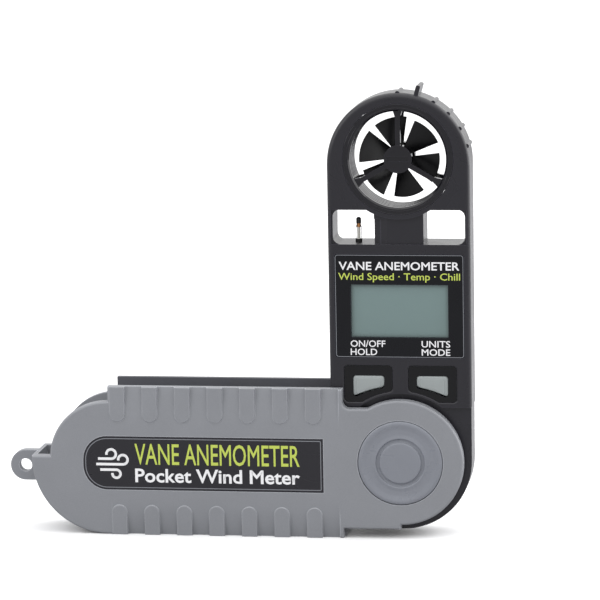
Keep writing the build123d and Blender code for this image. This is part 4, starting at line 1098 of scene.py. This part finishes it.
def gather(meshes):
    """Several drawings as one mesh."""
    work = bmesh.new()
    for mesh in meshes:
        work.from_mesh(mesh)
    bmesh.ops.remove_doubles(work, verts=work.verts, dist=WELD)
    out = bpy.data.meshes.new("gathered")
    work.to_mesh(out)
    work.free()
    return out


# %% [markdown]
# ## The name on the cover
# The label carries a wind sign, a name in condensed capitals and a smaller line under it, inside a thin frame
# whose left end is round like the label's.

# %% Print the cover label
FRAME_INSET = 0.75
FRAME_BITE = 0.9
FRAME_CORNER, FRAME_WIDTH = 0.3, 0.22
ARC_STEPS = 16
LABEL_WORDS_LEFT = 16.0
LABEL_WORDS_LENGTH = 50.6

label_low, label_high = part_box("cover_label")
label_length = (label_high.x - label_low.x) / MM
label_height = (label_high.z - label_low.z) / MM
label_place = facing_front(label_low.x, label_low.y, (label_low.z + label_high.z) / 2)
frame_right = label_length - FRAME_INSET
frame_top = label_height / 2 - FRAME_INSET
round_end = frame_top - FRAME_BITE
arc_x, arc_y = FRAME_INSET + round_end, frame_top - round_end
quarter = [math.pi / 2 * k / ARC_STEPS for k in range(ARC_STEPS + 1)]
frame_path = [(frame_right, -frame_top), (frame_right, frame_top)]
frame_path += [(arc_x - round_end * math.sin(a), arc_y + round_end * math.cos(a)) for a in quarter]
frame_path += [(arc_x - round_end * math.cos(a), -arc_y - round_end * math.sin(a)) for a in quarter]
frame_line = printed_line(frame_path, FRAME_CORNER, FRAME_WIDTH, INK_RISE, INKS["grey"])
line = finish_piece("label_frame_line", frame_line, INKS["grey"], label_place, "cover")

for name, words, baseline, capitals, bold, ink in (
    ("label_name", "VANE ANEMOMETER", -0.3, 6.3, 0.006, "lime"),
    ("label_under_line", "Pocket Wind Meter", -5.75, 4.0, 0.02, "white"),
):
    mesh = lettering(words, LABEL_WORDS_LEFT, baseline, capitals, LABEL_WORDS_LENGTH, bold)
    printed = finish_piece(name, mesh, INKS[ink], label_place, "cover")

# %% The wind sign


def gust(start, end, height, radius, side):
    """A gust of wind: a straight run that ends in a curl, upwards (1) or downwards (-1)."""
    points = [(start, height), (end, height)]
    for k in range(1, 15):
        turn = math.radians(-90 + 20 * k)
        points.append((end + radius * math.cos(turn), height + side * (radius + radius * math.sin(turn))))
    return points


GUST_CORNER, GUST_WIDTH = 0.05, 0.8
gusts = [gust(4.6, 8.7, 1.3, 1.45, 1), gust(4.0, 12.3, -0.4, 1.45, 1), gust(5.2, 10.2, -2.1, 1.25, -1)]
sign = gather(
    [printed_line(path, GUST_CORNER, GUST_WIDTH, INK_RISE, INKS["white"], closed=False) for path in gusts]
)
sign_piece = finish_piece("label_wind_sign", sign, INKS["white"], label_place, "cover")

# %% [markdown]
# ## The words on the panel
# The panel names the meter above the display and the two keys below it. A thin line runs round its edge.

# %% Print the panel
TITLE_LENGTH, TITLE_DROP = 36.2, 4.7
SECOND_LENGTH, SECOND_DROP = 36.6, 7.75
CAPTION_HEIGHT = 1.9
EDGE_GAP = 0.3
EDGE_CORNER, EDGE_WIDTH = 0.7, 0.16

panel_low, panel_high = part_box("face_label")
panel_width = (panel_high.x - panel_low.x) / MM
panel_height = (panel_high.z - panel_low.z) / MM
panel_place = facing_front(panel_low.x, panel_low.y, panel_low.z)
title_left, second_left = (panel_width - TITLE_LENGTH) / 2, (panel_width - SECOND_LENGTH) / 2
title = lettering("VANE ANEMOMETER", title_left, panel_height - TITLE_DROP, 2.35, TITLE_LENGTH, 0.016)
second = lettering(
    "Wind Speed · Temp · Chill", second_left, panel_height - SECOND_DROP, 2.05, SECOND_LENGTH, 0.008
)
captions = [
    lettering(words, left, baseline, CAPTION_HEIGHT, length, 0.01)
    for words, left, baseline, length in (
        ("ON/OFF", 4.6, 3.35, 10.5),
        ("HOLD", 4.6, 0.85, 8.0),
        ("UNITS", 26.0, 3.35, 8.6),
        ("MODE", 26.0, 0.85, 8.6),
    )
]
line_right, line_top = panel_width - EDGE_GAP, panel_height - EDGE_GAP
panel_path = [(EDGE_GAP, EDGE_GAP), (line_right, EDGE_GAP), (line_right, line_top), (EDGE_GAP, line_top)]
panel_line = printed_line(panel_path, EDGE_CORNER, EDGE_WIDTH, INK_RISE, INKS["grey"])
for name, mesh, ink in (
    ("panel_title", title, "white"),
    ("panel_second_line", second, "lime"),
    ("panel_captions", gather(captions), "white"),
    ("panel_edge_line", panel_line, "grey"),
):
    printed = finish_piece(name, mesh, INKS[ink], panel_place, "meter")

# %% [markdown]
# ## The probe's wires
# The temperature bead stands on two fine wires beside its stem. Each wire is a round strand that follows a
# short path, so it is swept along a line by the same kind of tree as the printing, with a round profile.

# %% The wire tree
wire_tree, given, result = new_group(
    "bare_wire",
    GEOMETRY,
    [("Geometry", SOLID, None), ("Radius", FLOAT, 0.12), ("Bend", FLOAT, 0.4), ("Finish", FINISH, None)],
    [("Geometry", SOLID)],
)
path = add(wire_tree, "GeometryNodeMeshToCurve", {"Mesh": given.outputs["Geometry"]})
soft = add(
    wire_tree,
    "GeometryNodeFilletCurve",
    {"Curve": path.outputs[0], "Count": 6, "Radius": given.outputs["Bend"], "Limit Radius": True},
    mode="POLY",
)
strand = add(
    wire_tree, "GeometryNodeCurvePrimitiveCircle", {"Resolution": 10, "Radius": given.outputs["Radius"]}
)
wire = add(
    wire_tree,
    "GeometryNodeCurveToMesh",
    {"Curve": soft.outputs[0], "Profile Curve": strand.outputs[0], "Fill Caps": True},
)
end_tree(wire_tree, wire.outputs[0], given, result)

# %% Bend the two wires
WIRE_RADIUS = 0.11
WIRE_BEND = 0.4
WIRE_SPREAD = 0.85
WIRE_NECK = 0.45
WIRE_BURIED = 0.2

stem = middle("thermistor_stem")
stem_low, stem_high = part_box("thermistor_stem")
bead_low, bead_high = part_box("thermistor_bead")
head = (bead_low.z - stem_low.z) / MM + WIRE_BURIED
wires = []
for side in (-1, 1):
    start = bpy.data.meshes.new("path")
    points = [(WIRE_SPREAD, 0.0), (WIRE_SPREAD, head - 1.4), (0.5, head - 0.5), (WIRE_NECK, head)]
    start.from_pydata([(side * x, y, 0) for x, y in points], [(0, 1), (1, 2), (2, 3)], [])
    settings = {"Radius": WIRE_RADIUS, "Bend": WIRE_BEND, "Finish": finishes["steel"]}
    wires.append(grow(wire_tree, start, settings))
wires_place = facing_front(stem.x, stem.y, stem_low.z)
wires_piece = finish_piece("probe_wires", gather(wires), finishes["steel"], wires_place, "meter")
